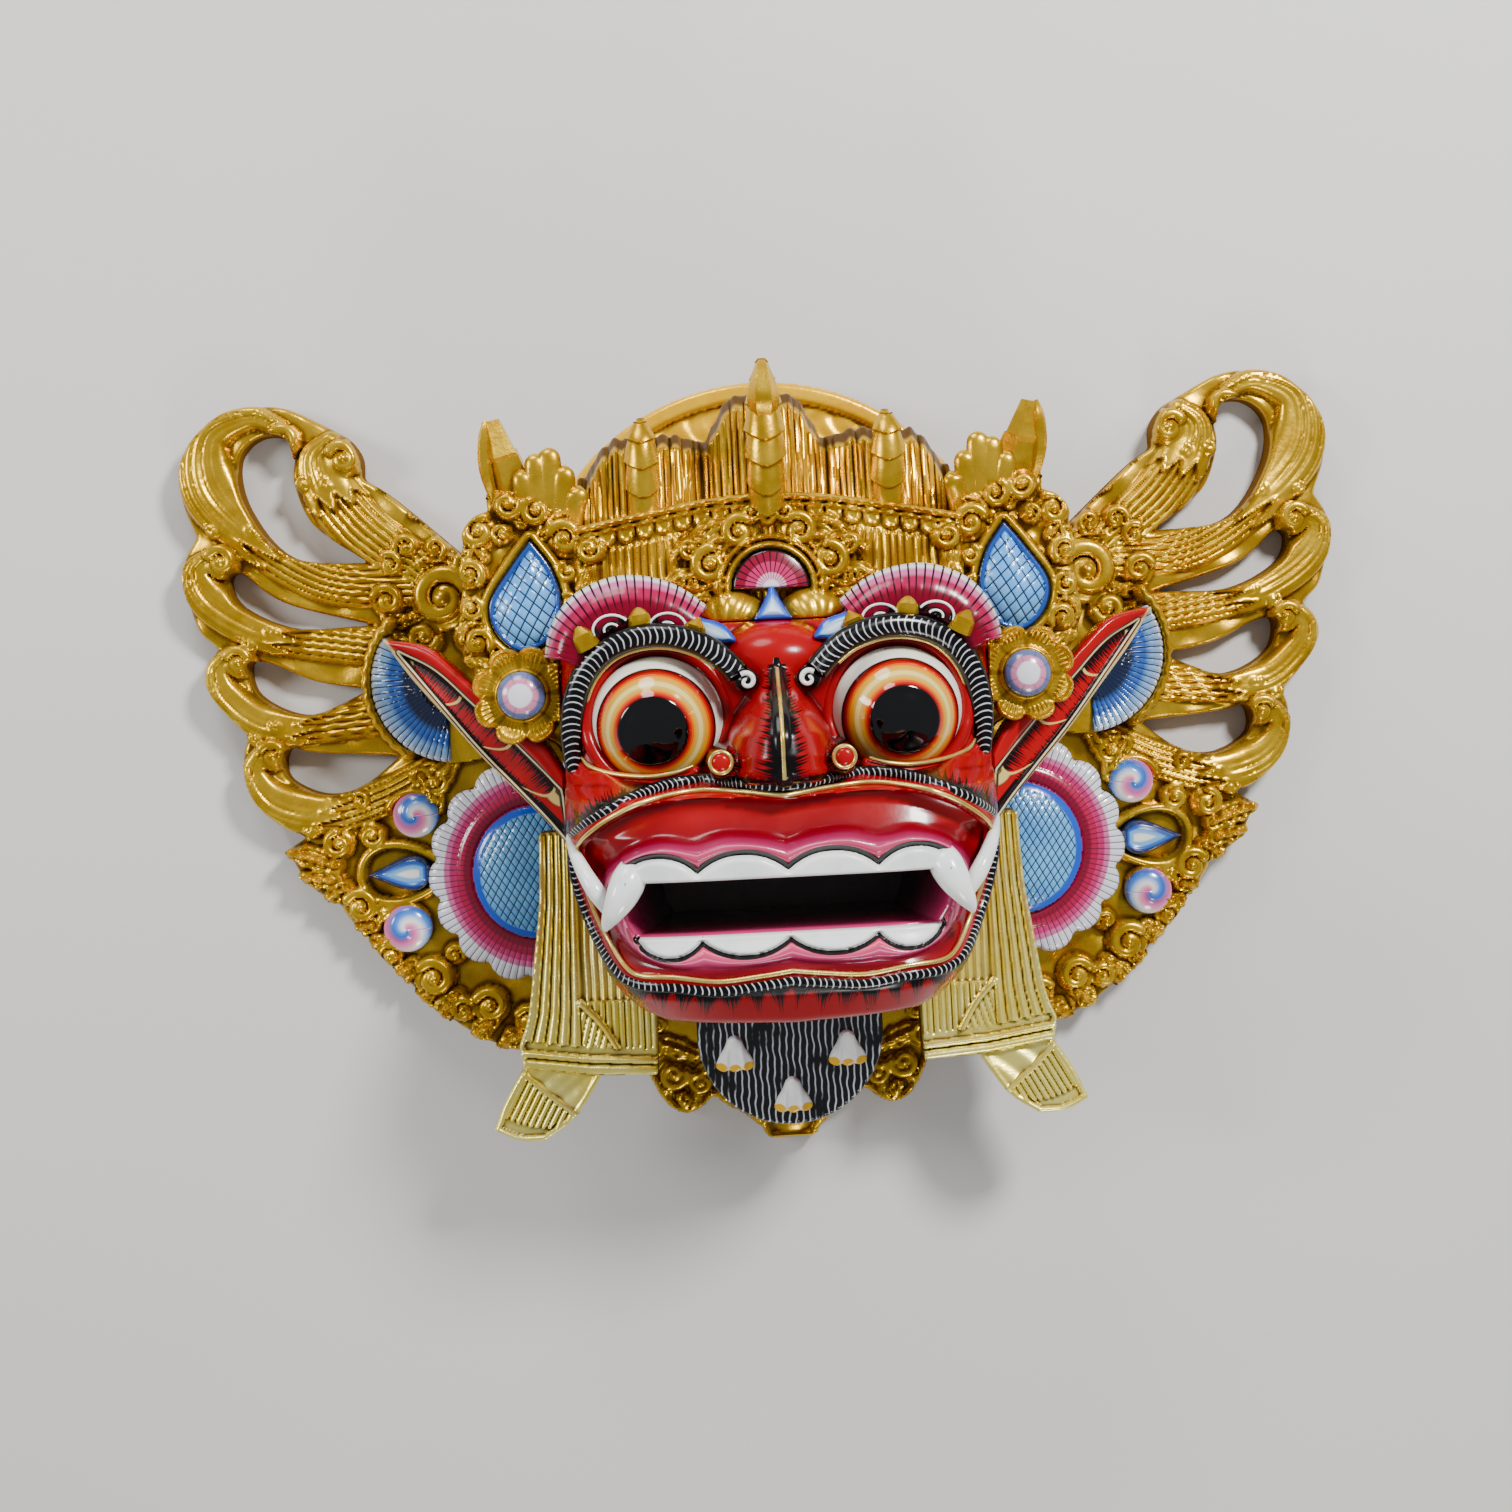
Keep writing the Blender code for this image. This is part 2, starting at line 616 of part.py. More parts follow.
def ear(word, side):
    name = f"ear_{word}"
    plan = [
        (156, 60, True), (138, 56.5), (126, 47), (116, 37.5), (104, 27.5), (91, 16), (82, 2, True),
        (82, -25, True), (89, -18), (103, -3), (117, 11.5), (131, 28), (145, 44.5),
    ]
    hollow = [
        (149, 54, True), (134, 46.5), (121, 33), (109, 21), (97, 8), (89, -4, True), (92, -12, True),
        (104, 1), (117, 15), (131, 32),
    ]
    ridge = [
        (side * x, y, EAR_ROOT_TOP - 1.5)
        for x, y in ((152, 57.5), (138, 53), (126, 43.5), (115, 33), (104, 23.5), (92, 11.5), (86, 0))
    ]
    made = slab(name, [mirrored(smooth_loop(plan, 1), side)], EAR_ROOT_TOP - EAR_THICK, EAR_ROOT_TOP)
    rim = tube(f"{name}_rim", ridge, [1.5, 3, 3.6, 3.6, 3.2, 3, 2.5])
    dish_loop = mirrored(smooth_loop(hollow, 1), side)
    dish = slab(f"{name}_dish", [dish_loop], EAR_ROOT_TOP - 5, EAR_ROOT_TOP + 9)
    for piece in (made, rim, dish):
        lean(piece, 0, EAR_SLOPE, HEAD_HALF)
    combine(made, "UNION", [rim])
    combine(made, "DIFFERENCE", [dish, head_cutter(f"{name}_cut")])
    return keep(made, paint(name, RED, 0.25, 0.0))


def flower(word, side):
    name = f"flower_{word}"
    centre = (side * FLOWER_AT[0], FLOWER_AT[1])
    petals = 8
    loop = []
    for index in range(3 * petals):
        turn = 2 * math.pi * index / (3 * petals)
        reach = FLOWER_RADIUS - (2.6 if index % 3 == 0 else 0)
        loop.append((centre[0] + reach * math.cos(turn), centre[1] + reach * math.sin(turn)))
    made = slab(name, [loop], FLOWER_BASE, FLOWER_BASE + 7)
    heart = dome(f"{name}_heart", (*centre, FLOWER_BASE + 7), (9, 9, 6.5), 12)
    combine(made, "UNION", [heart])
    combine(made, "DIFFERENCE", [head_cutter(f"{name}_cut")])
    return keep(made, paint(name, GOLD, 0.3, 1.0))


def ribbon(word, side):
    name = f"ribbon_{word}"
    plan = [
        (70, RIBBON_START, True), (99, RIBBON_START, True), (100, -50), (102.5, -70), (106, -95),
        (110, -107, True), (108.5, -116, True), (82, -120.5), (54.5, -121.5, True), (53.5, -84, True),
    ]
    tail = [
        (106, -112, True), (116, -128), (122, -141, True), (112, -145.5), (101, -146, True),
        (88.5, -137), (76, -119, True),
    ]
    made = slab(name, [mirrored(smooth_loop(plan, 2), side)], RIBBON_TOP_Z - RIBBON_THICK, RIBBON_TOP_Z)
    tail_loop = mirrored(smooth_loop(tail, 2), side)
    added = [slab(f"{name}_tail", [tail_loop], RIBBON_TOP_Z - 11, RIBBON_TOP_Z - 3)]
    flutes, pitch, spread = 5, 4.6, 0.1
    for index in range(flutes):
        start = 80 + pitch * index
        points = []
        for y in (RIBBON_START - 1, -106):
            x = start + spread * (RIBBON_START - y)
            points.append((side * x, y, RIBBON_TOP_Z - 0.4))
        added.append(tube(f"{name}_flute_{index}", points, [1.9] * 2, 4))
    hem = [(side * x, y, RIBBON_TOP_Z - 0.7) for x, y in ((107, -111), (82, -116), (58, -117))]
    added.append(tube(f"{name}_hem", hem, [2.8] * len(hem), 4))
    for piece in [made, *added]:
        lean(piece, 1, RIBBON_SLOPE, -RIBBON_START)
    combine(made, "UNION", added)
    combine(made, "DIFFERENCE", [head_cutter(f"{name}_cut")])
    return keep(made, paint(name, GOLD, 0.3, 1.0))


def beard():
    steps = 16
    loop = [(-BEARD_RADIUS, -80), *[
        (BEARD_CENTRE[0] - BEARD_RADIUS * math.cos(math.pi * i / steps),
         BEARD_CENTRE[1] - BEARD_RADIUS * math.sin(math.pi * i / steps))
        for i in range(steps + 1)
    ], (BEARD_RADIUS, -80)]
    made = slab("beard", [loop], BEARD_FRONT - BEARD_THICK, BEARD_FRONT)
    added = []
    for index, (x, y) in enumerate(((-23, -113.5), (23, -113.5), (0, -131.5))):
        shape = [(0, 9), (3, 5), (8, -5), (4, -8.5), (-4, -8.5), (-8, -5), (-3, 5)]
        petal = [(x + across, y + up) for across, up in shape]
        added.append(slab(f"beard_flower_{index}", [petal], BEARD_FRONT - 4, BEARD_FRONT + 3))
    combine(made, "UNION", added)
    combine(made, "DIFFERENCE", [head_cutter("beard_cut")])
    return keep(made, paint("beard", BLACK, 0.3, 0.0))


def chin_ornament():
    half = [
        (0, -HALF_HEIGHT), (10, -162), (14, -156), (25, -148), (33, -142.5, True), (40, -148),
        (48, -149), (56, -141), (62, -128), (68, -112), (75, -84, True),
    ]
    loop = half + [(-point[0], *point[1:]) for point in reversed(half[1:])]
    made = slab("chin_ornament", [smooth_loop(loop, 2)], 0, ORNAMENT_THICK)
    added = [dome("chin_ornament_bud", (0, -153, ORNAMENT_THICK - 1), (9, 7, 6), 10)]
    for word, side in SIDES.items():
        added.append(spiral(f"chin_ornament_scroll_{word}", (50, -132, 9), side, ORNAMENT_THICK, 2.6))
        added.append(dome(f"chin_ornament_bud_{word}", (side * 45, -143, ORNAMENT_THICK - 1), (4, 4, 5), 8))
    combine(made, "UNION", added)
    combine(made, "DIFFERENCE", [head_cutter("chin_ornament_cut")])
    return keep(made, paint("chin_ornament", GOLD, 0.3, 1.0))


PLANNED = []
clear_scene()
PARTS = new_collection("barong_mask")
CUTTERS = new_collection("cutters")
head()
crown()
halo()
beard()
chin_ornament()
for SIDE_WORD, SIDE in SIDES.items():
    wing(SIDE_WORD, SIDE)
    ear(SIDE_WORD, SIDE)
    flower(SIDE_WORD, SIDE)
    ribbon(SIDE_WORD, SIDE)
for PLAN in PLANNED:
    add_boolean(*PLAN)
for PART in PARTS.objects:
    tidy(PART)
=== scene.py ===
"""Looks of the barong mask: carved reliefs, lacquer and gilding around the fixed frame.

Sizes are millimetres unless a name says otherwise; the mesh functions turn them into metres.
X runs across the face, Y up to the crown and Z out of the face.
"""

import math
from types import SimpleNamespace

import bmesh
import bpy
import numpy as np
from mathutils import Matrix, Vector


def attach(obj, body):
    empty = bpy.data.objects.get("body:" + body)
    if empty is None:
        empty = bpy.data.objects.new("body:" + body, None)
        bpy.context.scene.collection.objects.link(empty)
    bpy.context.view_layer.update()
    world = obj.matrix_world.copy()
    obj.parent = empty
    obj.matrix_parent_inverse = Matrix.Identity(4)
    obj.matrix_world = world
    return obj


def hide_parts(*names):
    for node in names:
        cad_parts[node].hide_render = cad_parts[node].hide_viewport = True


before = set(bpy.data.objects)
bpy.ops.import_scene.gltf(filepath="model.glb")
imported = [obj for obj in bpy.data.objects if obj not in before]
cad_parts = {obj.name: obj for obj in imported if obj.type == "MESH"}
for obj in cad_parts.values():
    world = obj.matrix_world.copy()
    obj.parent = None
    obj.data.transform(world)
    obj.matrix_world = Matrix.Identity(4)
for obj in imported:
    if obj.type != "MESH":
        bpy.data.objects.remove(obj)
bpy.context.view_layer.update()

MM = 0.001
CIRCLE = 2 * math.pi
NOWHERE = -99.0
SIDES = {"left": -1, "right": 1}
CORNERS = ((0, 0), (0, 1), (1, 1), (1, 0))

# Camera: where the photograph was taken from
CAMERA_AT = (-0.0191, 0.0480, 0.8975)
CAMERA_TURN = (-2.816, -3.36, -2.55)
CAMERA_LENS = 49.15
CAMERA_SHIFT = -0.06

# Colours, as they are seen (0 to 255)
GOLD_BRIGHT = (230, 188, 50)
GOLD_MID = (196, 150, 26)
GOLD_SHADE = (98, 60, 12)
GOLD_PALE = (236, 214, 128)
WALL_SHADE_GOLD = (112, 74, 4)
RED = (162, 0, 12)
RED_DEEP = (122, 0, 4)
BLACK = (6, 6, 8)
IVORY = (236, 234, 222)
PINK_PALE = (236, 146, 180)
BLUE = (28, 92, 190)
BLUE_LIGHT = (112, 172, 222)
BLUE_DARK = (16, 44, 96)


def linear(colour):
    """Linear RGBA of a seen colour."""
    parts = [part / 255 for part in colour]
    parts = [part / 12.92 if part <= 0.04045 else ((part + 0.055) / 1.055) ** 2.4 for part in parts]
    return (*parts, 1.0)


class Value:
    """A number inside a material; sums of values add nodes to it, so that a paint reads as a formula."""

    def __init__(self, paint, socket):
        self.paint = paint
        self.socket = socket

    def __add__(self, other):
        return self.paint.math("ADD", self, other)

    def __sub__(self, other):
        return self.paint.math("SUBTRACT", self, other)

    def __rsub__(self, other):
        return self.paint.math("SUBTRACT", other, self)

    def __mul__(self, other):
        return self.paint.math("MULTIPLY", self, other)

    def __truediv__(self, other):
        return self.paint.math("DIVIDE", self, other)

    def __abs__(self):
        return self.paint.math("ABSOLUTE", self)

    def floor(self):
        return self.paint.math("FLOOR", self)

    def fraction(self):
        return self.paint.math("FRACT", self)

    def most(self, other):
        return self.paint.math("MAXIMUM", self, other)

    def above(self, edge, soft=0.06):
        """1 where the value is over the edge, 0 under it, with a soft step."""
        step = (edge - soft, edge + soft, 0.0, 1.0)
        return self.paint.node("MapRange", self, *step, interpolation_type="SMOOTHSTEP")

    def below(self, edge, soft=0.06):
        return 1.0 - self.above(edge, soft)

    def lines(self, pitch, share, soft=0.05):
        """1 on lines that repeat along the value: pitch and the line's share of it."""
        return abs((self / pitch).fraction() - 0.5).below(share / 2, soft)


class Paint:
    """A material with the slot that it stands for, and short ways to build its nodes."""

    def __init__(self, name, slot, coat=0.0, specular=0.5, roughness=0.35):
        self.slot = slot
        self.material = bpy.data.materials.new(name)
        self.material.use_nodes = True
        self.tree = self.material.node_tree
        self.shader = self.tree.nodes["Principled BSDF"].inputs
        self.shader["Roughness"].default_value = roughness
        self.shader["Specular IOR Level"].default_value = specular
        self.shader["Coat Weight"].default_value = coat
        self.shader["Coat Roughness"].default_value = 0.06

    def put(self, socket, value):
        """Links a value to a socket, or sets the socket to a number or a seen colour."""
        if isinstance(value, Value):
            self.tree.links.new(value.socket, socket)
        elif value is not None:
            socket.default_value = linear(value) if socket.type == "RGBA" else value

    def node(self, kind, *values, output=0, **settings):
        made = self.tree.nodes.new("ShaderNode" + kind)
        for key, value in settings.items():
            setattr(made, key, value)
        for socket, value in enumerate(values):
            self.put(made.inputs[socket], value)
        return Value(self, made.outputs[output])

    def math(self, operation, first, second=None):
        return self.node("Math", first, second, operation=operation)

    def attr(self, name):
        return self.node("Attribute", attribute_name=name, output="Fac")

    def mix(self, share, first, second):
        unused = [None] * 5
        return self.node("Mix", share, *unused, first, second, output=2, data_type="RGBA")

    def place(self):
        return self.node("TexCoord", output="Object")

    def noise(self, scale, detail=2.0, rough=0.5, place=None):
        return self.node("TexNoise", place or self.place(), None, scale, detail, rough)

    def mottled(self, first, second, scale, detail=3, edge=0.5, soft=0.3):
        """Two colours in soft uneven patches."""
        return self.mix(self.noise(scale, detail).above(edge, soft), first, second)

    def chance(self, value):
        """A random share for each value."""
        return self.node("TexWhiteNoise", None, value, noise_dimensions="1D")

    def ramp(self, value, stops):
        """Colours along a value that runs from 0 to 1."""
        made = self.node("ValToRGB", value)
        elements = made.socket.node.color_ramp.elements
        for index, (place, colour) in enumerate(stops):
            stop = elements[index] if index < 2 else elements.new(place)
            stop.position = place
            stop.color = linear(colour)
        return made

    def bands(self, value, low, high, stops, soft=0.12):
        """Flat bands of colour with soft edges: stops are (where the band ends, colour)."""
        points = []
        start = low - soft
        for end, colour in stops:
            points += [(start + soft, colour), (end - soft, colour)]
            start = end
        shares = [(min(1, max(0, (at - low) / (high - low))), colour) for at, colour in points]
        return self.ramp(self.node("MapRange", value, low, high, 0.0, 1.0), shares)

    def lattice(self, share):
        """Lines of a lattice, from the two attributes that count its cells."""
        first, second = ((self.attr(key) + 0.5).lines(1.0, share) for key in ("cell_a", "cell_b"))
        return first.most(second)

    def strokes(self, along, out, pitch, shift, length, least, thick, soft):
        """Painted hairs side by side: each is thick at its root and thins out at a length of its own."""
        cell = along / pitch + shift
        middle = abs(cell.fraction() - 0.5)
        size = self.chance(cell.floor()) * (length * (1 - least)) + length * least
        return ((1.0 - out / size) * thick - middle).above(0.0, soft)

    def finish(self, colour, rough=None, bump=None, strength=0.0, depth=0.0):
        """Connects the paint's colour, gloss and fine surface."""
        self.put(self.shader["Base Color"], colour)
        self.put(self.shader["Roughness"], rough)
        if bump is not None:
            made = self.tree.nodes.new("ShaderNodeBump")
            for key, value in (("Strength", strength), ("Distance", depth), ("Height", bump)):
                self.put(made.inputs[key], value)
            self.tree.links.new(made.outputs[0], self.shader["Normal"])
        return self

    def back(self):
        """1 on the back, which is bare wood."""
        return self.attr("under").above(0.94, 0.04)

    def wood(self):
        place = self.node("Mapping", self.place(), None, None, (1.0, 0.12, 1.0))
        return self.mix(self.noise(260, 4, 0.5, place).above(0.5, 0.25), (122, 84, 50), (84, 54, 32))

    def lacquer(self, colour):
        """Glossy hand-painted coat over a colour: faint brush marks and uneven gloss; bare wood behind."""
        colour = self.mix(self.noise(38, 3).above(0.6, 0.25) * 0.16, colour, (30, 4, 8))
        back = self.back()
        rough = self.noise(90, 3) * 0.16 + 0.14 + back * 0.45
        return self.finish(self.mix(back, colour, self.wood()), rough, self.noise(300, 3), 0.12, 0.0003)


def gold_paint(name, bright=GOLD_BRIGHT, middle=GOLD_MID, recess_shade=GOLD_SHADE, metal=0.8, shade_strength=0.7):
    """Gilding: bright on the ridges, with painted shade in the recesses and down the side walls; mottled and
    lightly brushed; bare wood behind.
    """
    made = Paint(name, "gilding", specular=0.12)
    mottle = made.noise(55, 4, 0.6)
    colour = made.mix(mottle.above(0.52, 0.2), middle, bright)
    # Painted shade in the recesses of the carving: brown where the cavity map is deep.
    shade_mask = (made.attr("recess_shade") + mottle * 0.4 - 0.2).above(0.62, 0.42)
    # Painted shade down the side walls: a darker, duller gold there.
    wall_shade = made.attr("under").above(0.14, 0.12)
    colour = made.mix(wall_shade, made.mix(shade_mask * shade_strength, colour, recess_shade), WALL_SHADE_GOLD)
    made.put(made.shader["Metallic"], metal - wall_shade * metal)
    rough = made.noise(140, 3) * 0.2 + 0.18 + shade_mask * 0.1 + wall_shade * 0.5
    bump = made.noise(260, 4) + made.noise(900, 3) * 0.25
    return made.finish(made.mix(made.back(), colour, made.wood()), rough, bump, 0.4, 0.0004)


def plain_paint(name, slot, colour, shade, coat=0.4, specular=0.5):
    """Hand-painted lacquer of one colour, a little uneven."""
    made = Paint(name, slot, coat, specular)
    return made.lacquer(made.mottled(colour, shade, 60, 4, 0.5, 0.25))


def unit(values):
    """The values kept between 0 and 1."""
    return np.clip(values, 0, 1)


def dome(reach):
    """Round top: 1 in the middle, 0 from a reach of 1 on."""
    return np.sqrt(unit(1 - np.square(reach)))


def bell(reach):
    """Soft bump: 1 in the middle, fading out past a reach of 1."""
    return np.exp(-np.square(reach))


def flutes(along, power=1.0):
    """Row of rounded ridges between narrow grooves, one for each whole number."""
    return np.abs(np.sin(math.pi * along)) ** power


def nicks(along, width):
    """1 in a fine cut at each whole number."""
    return bell((along - np.round(along)) / width)


def table(value, rows, column=1):
    """Between the rows of a table, by their first column, which may run up or down."""
    rows = sorted(rows)
    return np.interp(value, [row[0] for row in rows], [row[column] for row in rows])


class Grid:
    """Square net of points over a rectangle, with a height at each one."""

    def __init__(self, low, high, step, height=0.0):
        self.low = low
        self.step = step
        self.x, self.y = np.meshgrid(*(np.arange(low[axis], high[axis] + step, step) for axis in (0, 1)))
        self.z = np.full(self.x.shape, float(height))

    def polar(self, centre):
        """Distance and direction of each point from a place."""
        off_x, off_y = self.x - centre[0], self.y - centre[1]
        return np.hypot(off_x, off_y), np.arctan2(off_y, off_x)

    def window(self, points, margin):
        """The part of the net around some points."""
        low = (np.min(points, 0)[:2] - margin - self.low) / self.step
        high = (np.max(points, 0)[:2] + margin - self.low) / self.step
        return tuple(slice(max(0, int(low[axis])), max(0, int(high[axis]) + 2)) for axis in (1, 0))

    def raise_to(self, view, reach, top):
        """Lifts a part of the net to a top where the reach is under 1."""
        self.z[view] = np.maximum(self.z[view], np.where(reach < 1, top, NOWHERE))

    def bar(self, off, half, foot, high):
        """Half-round bar along the line where a distance is 0."""
        self.raise_to(..., np.abs(off) / half, foot + high * dome(off / half))

    def bud(self, x, y, wide, foot, high, tall=None):
        """Round or oval dome."""
        view = self.window([(x, y)], max(wide, tall or wide))
        reach = np.hypot((self.x[view] - x) / wide, (self.y[view] - y) / (tall or wide))
        self.raise_to(view, reach, foot + high * dome(reach))

    def ridge(self, line, foot, high, power=2.0):
        """Rounded bar along a line of (x, y, half width)."""
        line = np.asarray(line, float)
        view = self.window(line, line[:, 2].max())
        found = follow(self.x[view], self.y[view], line)
        reach = unit(found.off / np.maximum(found.half, 1e-3))
        lift = high * np.minimum(1, found.half / line[:, 2].max()) ** 0.5
        self.raise_to(view, reach, foot + lift * (1 - reach**power) ** (1 / power))

    def volute(self, x, y, radius, hand, start, foot, turns, high, thick):
        """Scroll that winds inward to a round eye, on a low dished disc."""
        self.bud(x, y, radius * 0.98, foot, high * 0.5)
        line = spiral(x, y, radius * (1 - thick * 0.8), hand, start, turns, radius * thick * 1.12)
        self.ridge(line, foot + high * 0.2, high * 0.85, 3.0)
        self.bud(x, y, radius * thick * 1.12, foot + high * 0.4, high * 0.85)

    def volutes(self, rows, foot, turns, high, gain, thick):
        """Scrolls from rows of (x, y, radius, hand, start); the larger ones stand higher by the gain."""
        for row in rows:
            self.volute(*row, foot, turns, high + row[2] * gain, thick)

    def leaves(self, rows, foot):
        """Acanthus leaves from rows of (spine, height, lobes), each with a groove and a notched edge."""
        for spine, high, lobes in rows:
            spine = curve_through(spine, 6)
            view = self.window(spine, spine[:, 2].max() * 1.2)
            found = follow(self.x[view], self.y[view], spine)
            half = np.maximum(found.half, 1e-3)
            share = lobes * found.run / found.length
            across = found.side / half
            reach = unit(found.off / (half * (1 - 0.22 * flutes(share))))
            fold = 0.78 + 0.22 * np.cos(2.6 * math.pi * across)
            rib = np.cos(CIRCLE * (share * 1.5 - np.abs(across) * 0.6))
            top = foot + high * np.sqrt(1 - reach**2.4) * fold + 0.12 * high * rib * (1 - reach)
            self.raise_to(view, reach, top)

    def mirror(self):
        """Copies the carving of the right half of a symmetric net to its left half."""
        half = self.z.shape[1] // 2
        self.z[:, :half] = self.z[:, :-half - 1:-1]


def spiral(x, y, radius, hand, start, turns, width, count=40):
    """Line of (x, y, half width) that winds inward."""
    share = np.linspace(0, 1, count)
    angle = start + hand * turns * CIRCLE * share
    return arc((x, y), angle, radius * (1 - 0.82 * share), width * (1 - 0.45 * share))


def arc(centre, angle, reach, *carried):
    """Line round a centre: its reach at each angle, then the values that each point carries."""
    columns = (centre[0] + reach * np.cos(angle), centre[1] + reach * np.sin(angle), *carried)
    return np.stack(np.broadcast_arrays(*columns), 1)


def curve_through(points, steps, closed=False):
    """Smooth line through the points; a closed one may mark corners with a last True."""
    count = len(points)
    size = 2 if closed else len(points[0])
    rows = [np.array(point[:size], float) for point in points]
    line = []
    for index in range(count if closed else count - 1):
        near = [index + step for step in (-1, 0, 1, 2)]
        near = [place % count if closed else min(count - 1, max(0, place)) for place in near]
        before, here, after, beyond = (rows[place] for place in near)
        sharp_start, sharp_end = (closed and len(points[place]) > 2 for place in near[1:3])
        leave = after - here if sharp_start else (after - before) / 2
        arrive = after - here if sharp_end else (beyond - here) / 2
        for t in np.arange(steps) / steps:
            straight = here + (after - here) * t * t * (3 - 2 * t)
            line.append(straight + leave * t * (1 - t) ** 2 - arrive * t * t * (1 - t))
    return np.array(line if closed else [*line, rows[-1]])


def both_sides(half):
    """The whole line of a half that starts in the middle, from the left end to the right end."""
    line = np.asarray(half, float)
    return np.concatenate([line[::-1] * (-1, 1), line[1:]])


def closed_both(half):
    """Closed outline of a symmetric form, from its right half between two points in the middle."""
    half = np.array(half, float)
    return np.concatenate([half, half[1:-1][::-1] * (-1, 1)])


def whole_curve(half, steps=6):
    """Smooth line through the points of a right half, from the middle out, and their mirror image."""
    return both_sides(curve_through(half, steps))


def follow(x, y, line):
    """The nearest place of an open line: distance off it, signed side, run along it and its half width."""
    line = np.asarray(line, float)
    halves = line[:, 2] if line.shape[1] > 2 else 0 * line[:, 0]
    off = np.full(x.shape, 1e9)
    side, run, half = np.zeros((3, *x.shape))
    total = 0.0
    for here, after, first, second in zip(line, line[1:], halves, halves[1:]):
        dx, dy = (after - here)[:2]
        length = math.hypot(dx, dy)
        if length < 1e-9:
            continue
        t = unit(((x - here[0]) * dx + (y - here[1]) * dy) / length**2)
        off_x, off_y = x - here[0] - t * dx, y - here[1] - t * dy
        reach = np.hypot(off_x, off_y)
        nearer = reach < off
        signed = np.copysign(reach, dx * off_y - dy * off_x)
        found = (reach, signed, total + t * length, first + t * (second - first))
        for kept, value in zip((off, side, run, half), found):
            np.copyto(kept, value, where=nearer)
        total += length
    return SimpleNamespace(off=off, side=side, run=run, half=half, length=max(total, 1e-6))


def outline(x, y, *loops):
    """Signed distance to closed outlines, negative on the material."""
    nearest = np.full(x.shape, 1e18)
    inside = np.zeros(x.shape, bool)
    for points in loops:
        for (x0, y0), (x1, y1) in zip(points, np.roll(points, -1, 0)):
            dx, dy = x1 - x0, y1 - y0
            t = unit(((x - x0) * dx + (y - y0) * dy) / (dx * dx + dy * dy + 1e-12))
            nearest = np.minimum(nearest, (x - x0 - t * dx) ** 2 + (y - y0 - t * dy) ** 2)
            if y0 != y1:
                crossed = (y0 <= y) != (y1 <= y)
                inside ^= crossed & (x < x0 + (y - y0) * dx / dy)
    return np.where(inside, -1, 1) * np.sqrt(nearest)


def plan_of(grid, *plans):
    """Signed distance to smooth outlines through the points of some plans."""
    return outline(grid.x, grid.y, *(curve_through(plan, 6, True) for plan in plans))


def blur(values, size):
    """Soft average over a few net steps."""
    weights = bell(np.arange(-size, size + 1) / (size * 0.55))
    weights /= weights.sum()
    for _ in range(2):
        padded = np.pad(values, [(size, size), (0, 0)], mode="edge")
        rows = len(values)
        values = sum(weight * padded[step:step + rows] for step, weight in enumerate(weights)).T
    return values


def new_piece(name, points, faces, values, look, smooth, replaces=None):
    """Mesh piece from points in millimetres; it rides on the frame."""
    mesh = bpy.data.meshes.new(name)
    mesh.from_pydata((np.asarray(points, float) * MM).tolist(), [], faces)
    for key, value in values.items():
        mesh.attributes.new(key, "FLOAT", "POINT").data.foreach_set("value", np.asarray(value, np.float32))
    mesh.materials.append(look.material)
    mesh.validate()
    obj = bpy.data.objects.new(name, mesh)
    bpy.context.scene.collection.objects.link(obj)
    mesh.shade_smooth()
    mesh.set_sharp_from_angle(angle=math.radians(smooth))
    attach(obj, "root")
    if replaces:
        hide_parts(replaces)
    return obj


def recesses(height):
    """How deep each point of a net lies under its surroundings, from 0 to 1: the share of painted shade it
    gets.
    """
    return unit((blur(height, 4) - height) * 0.9 + 0.25)


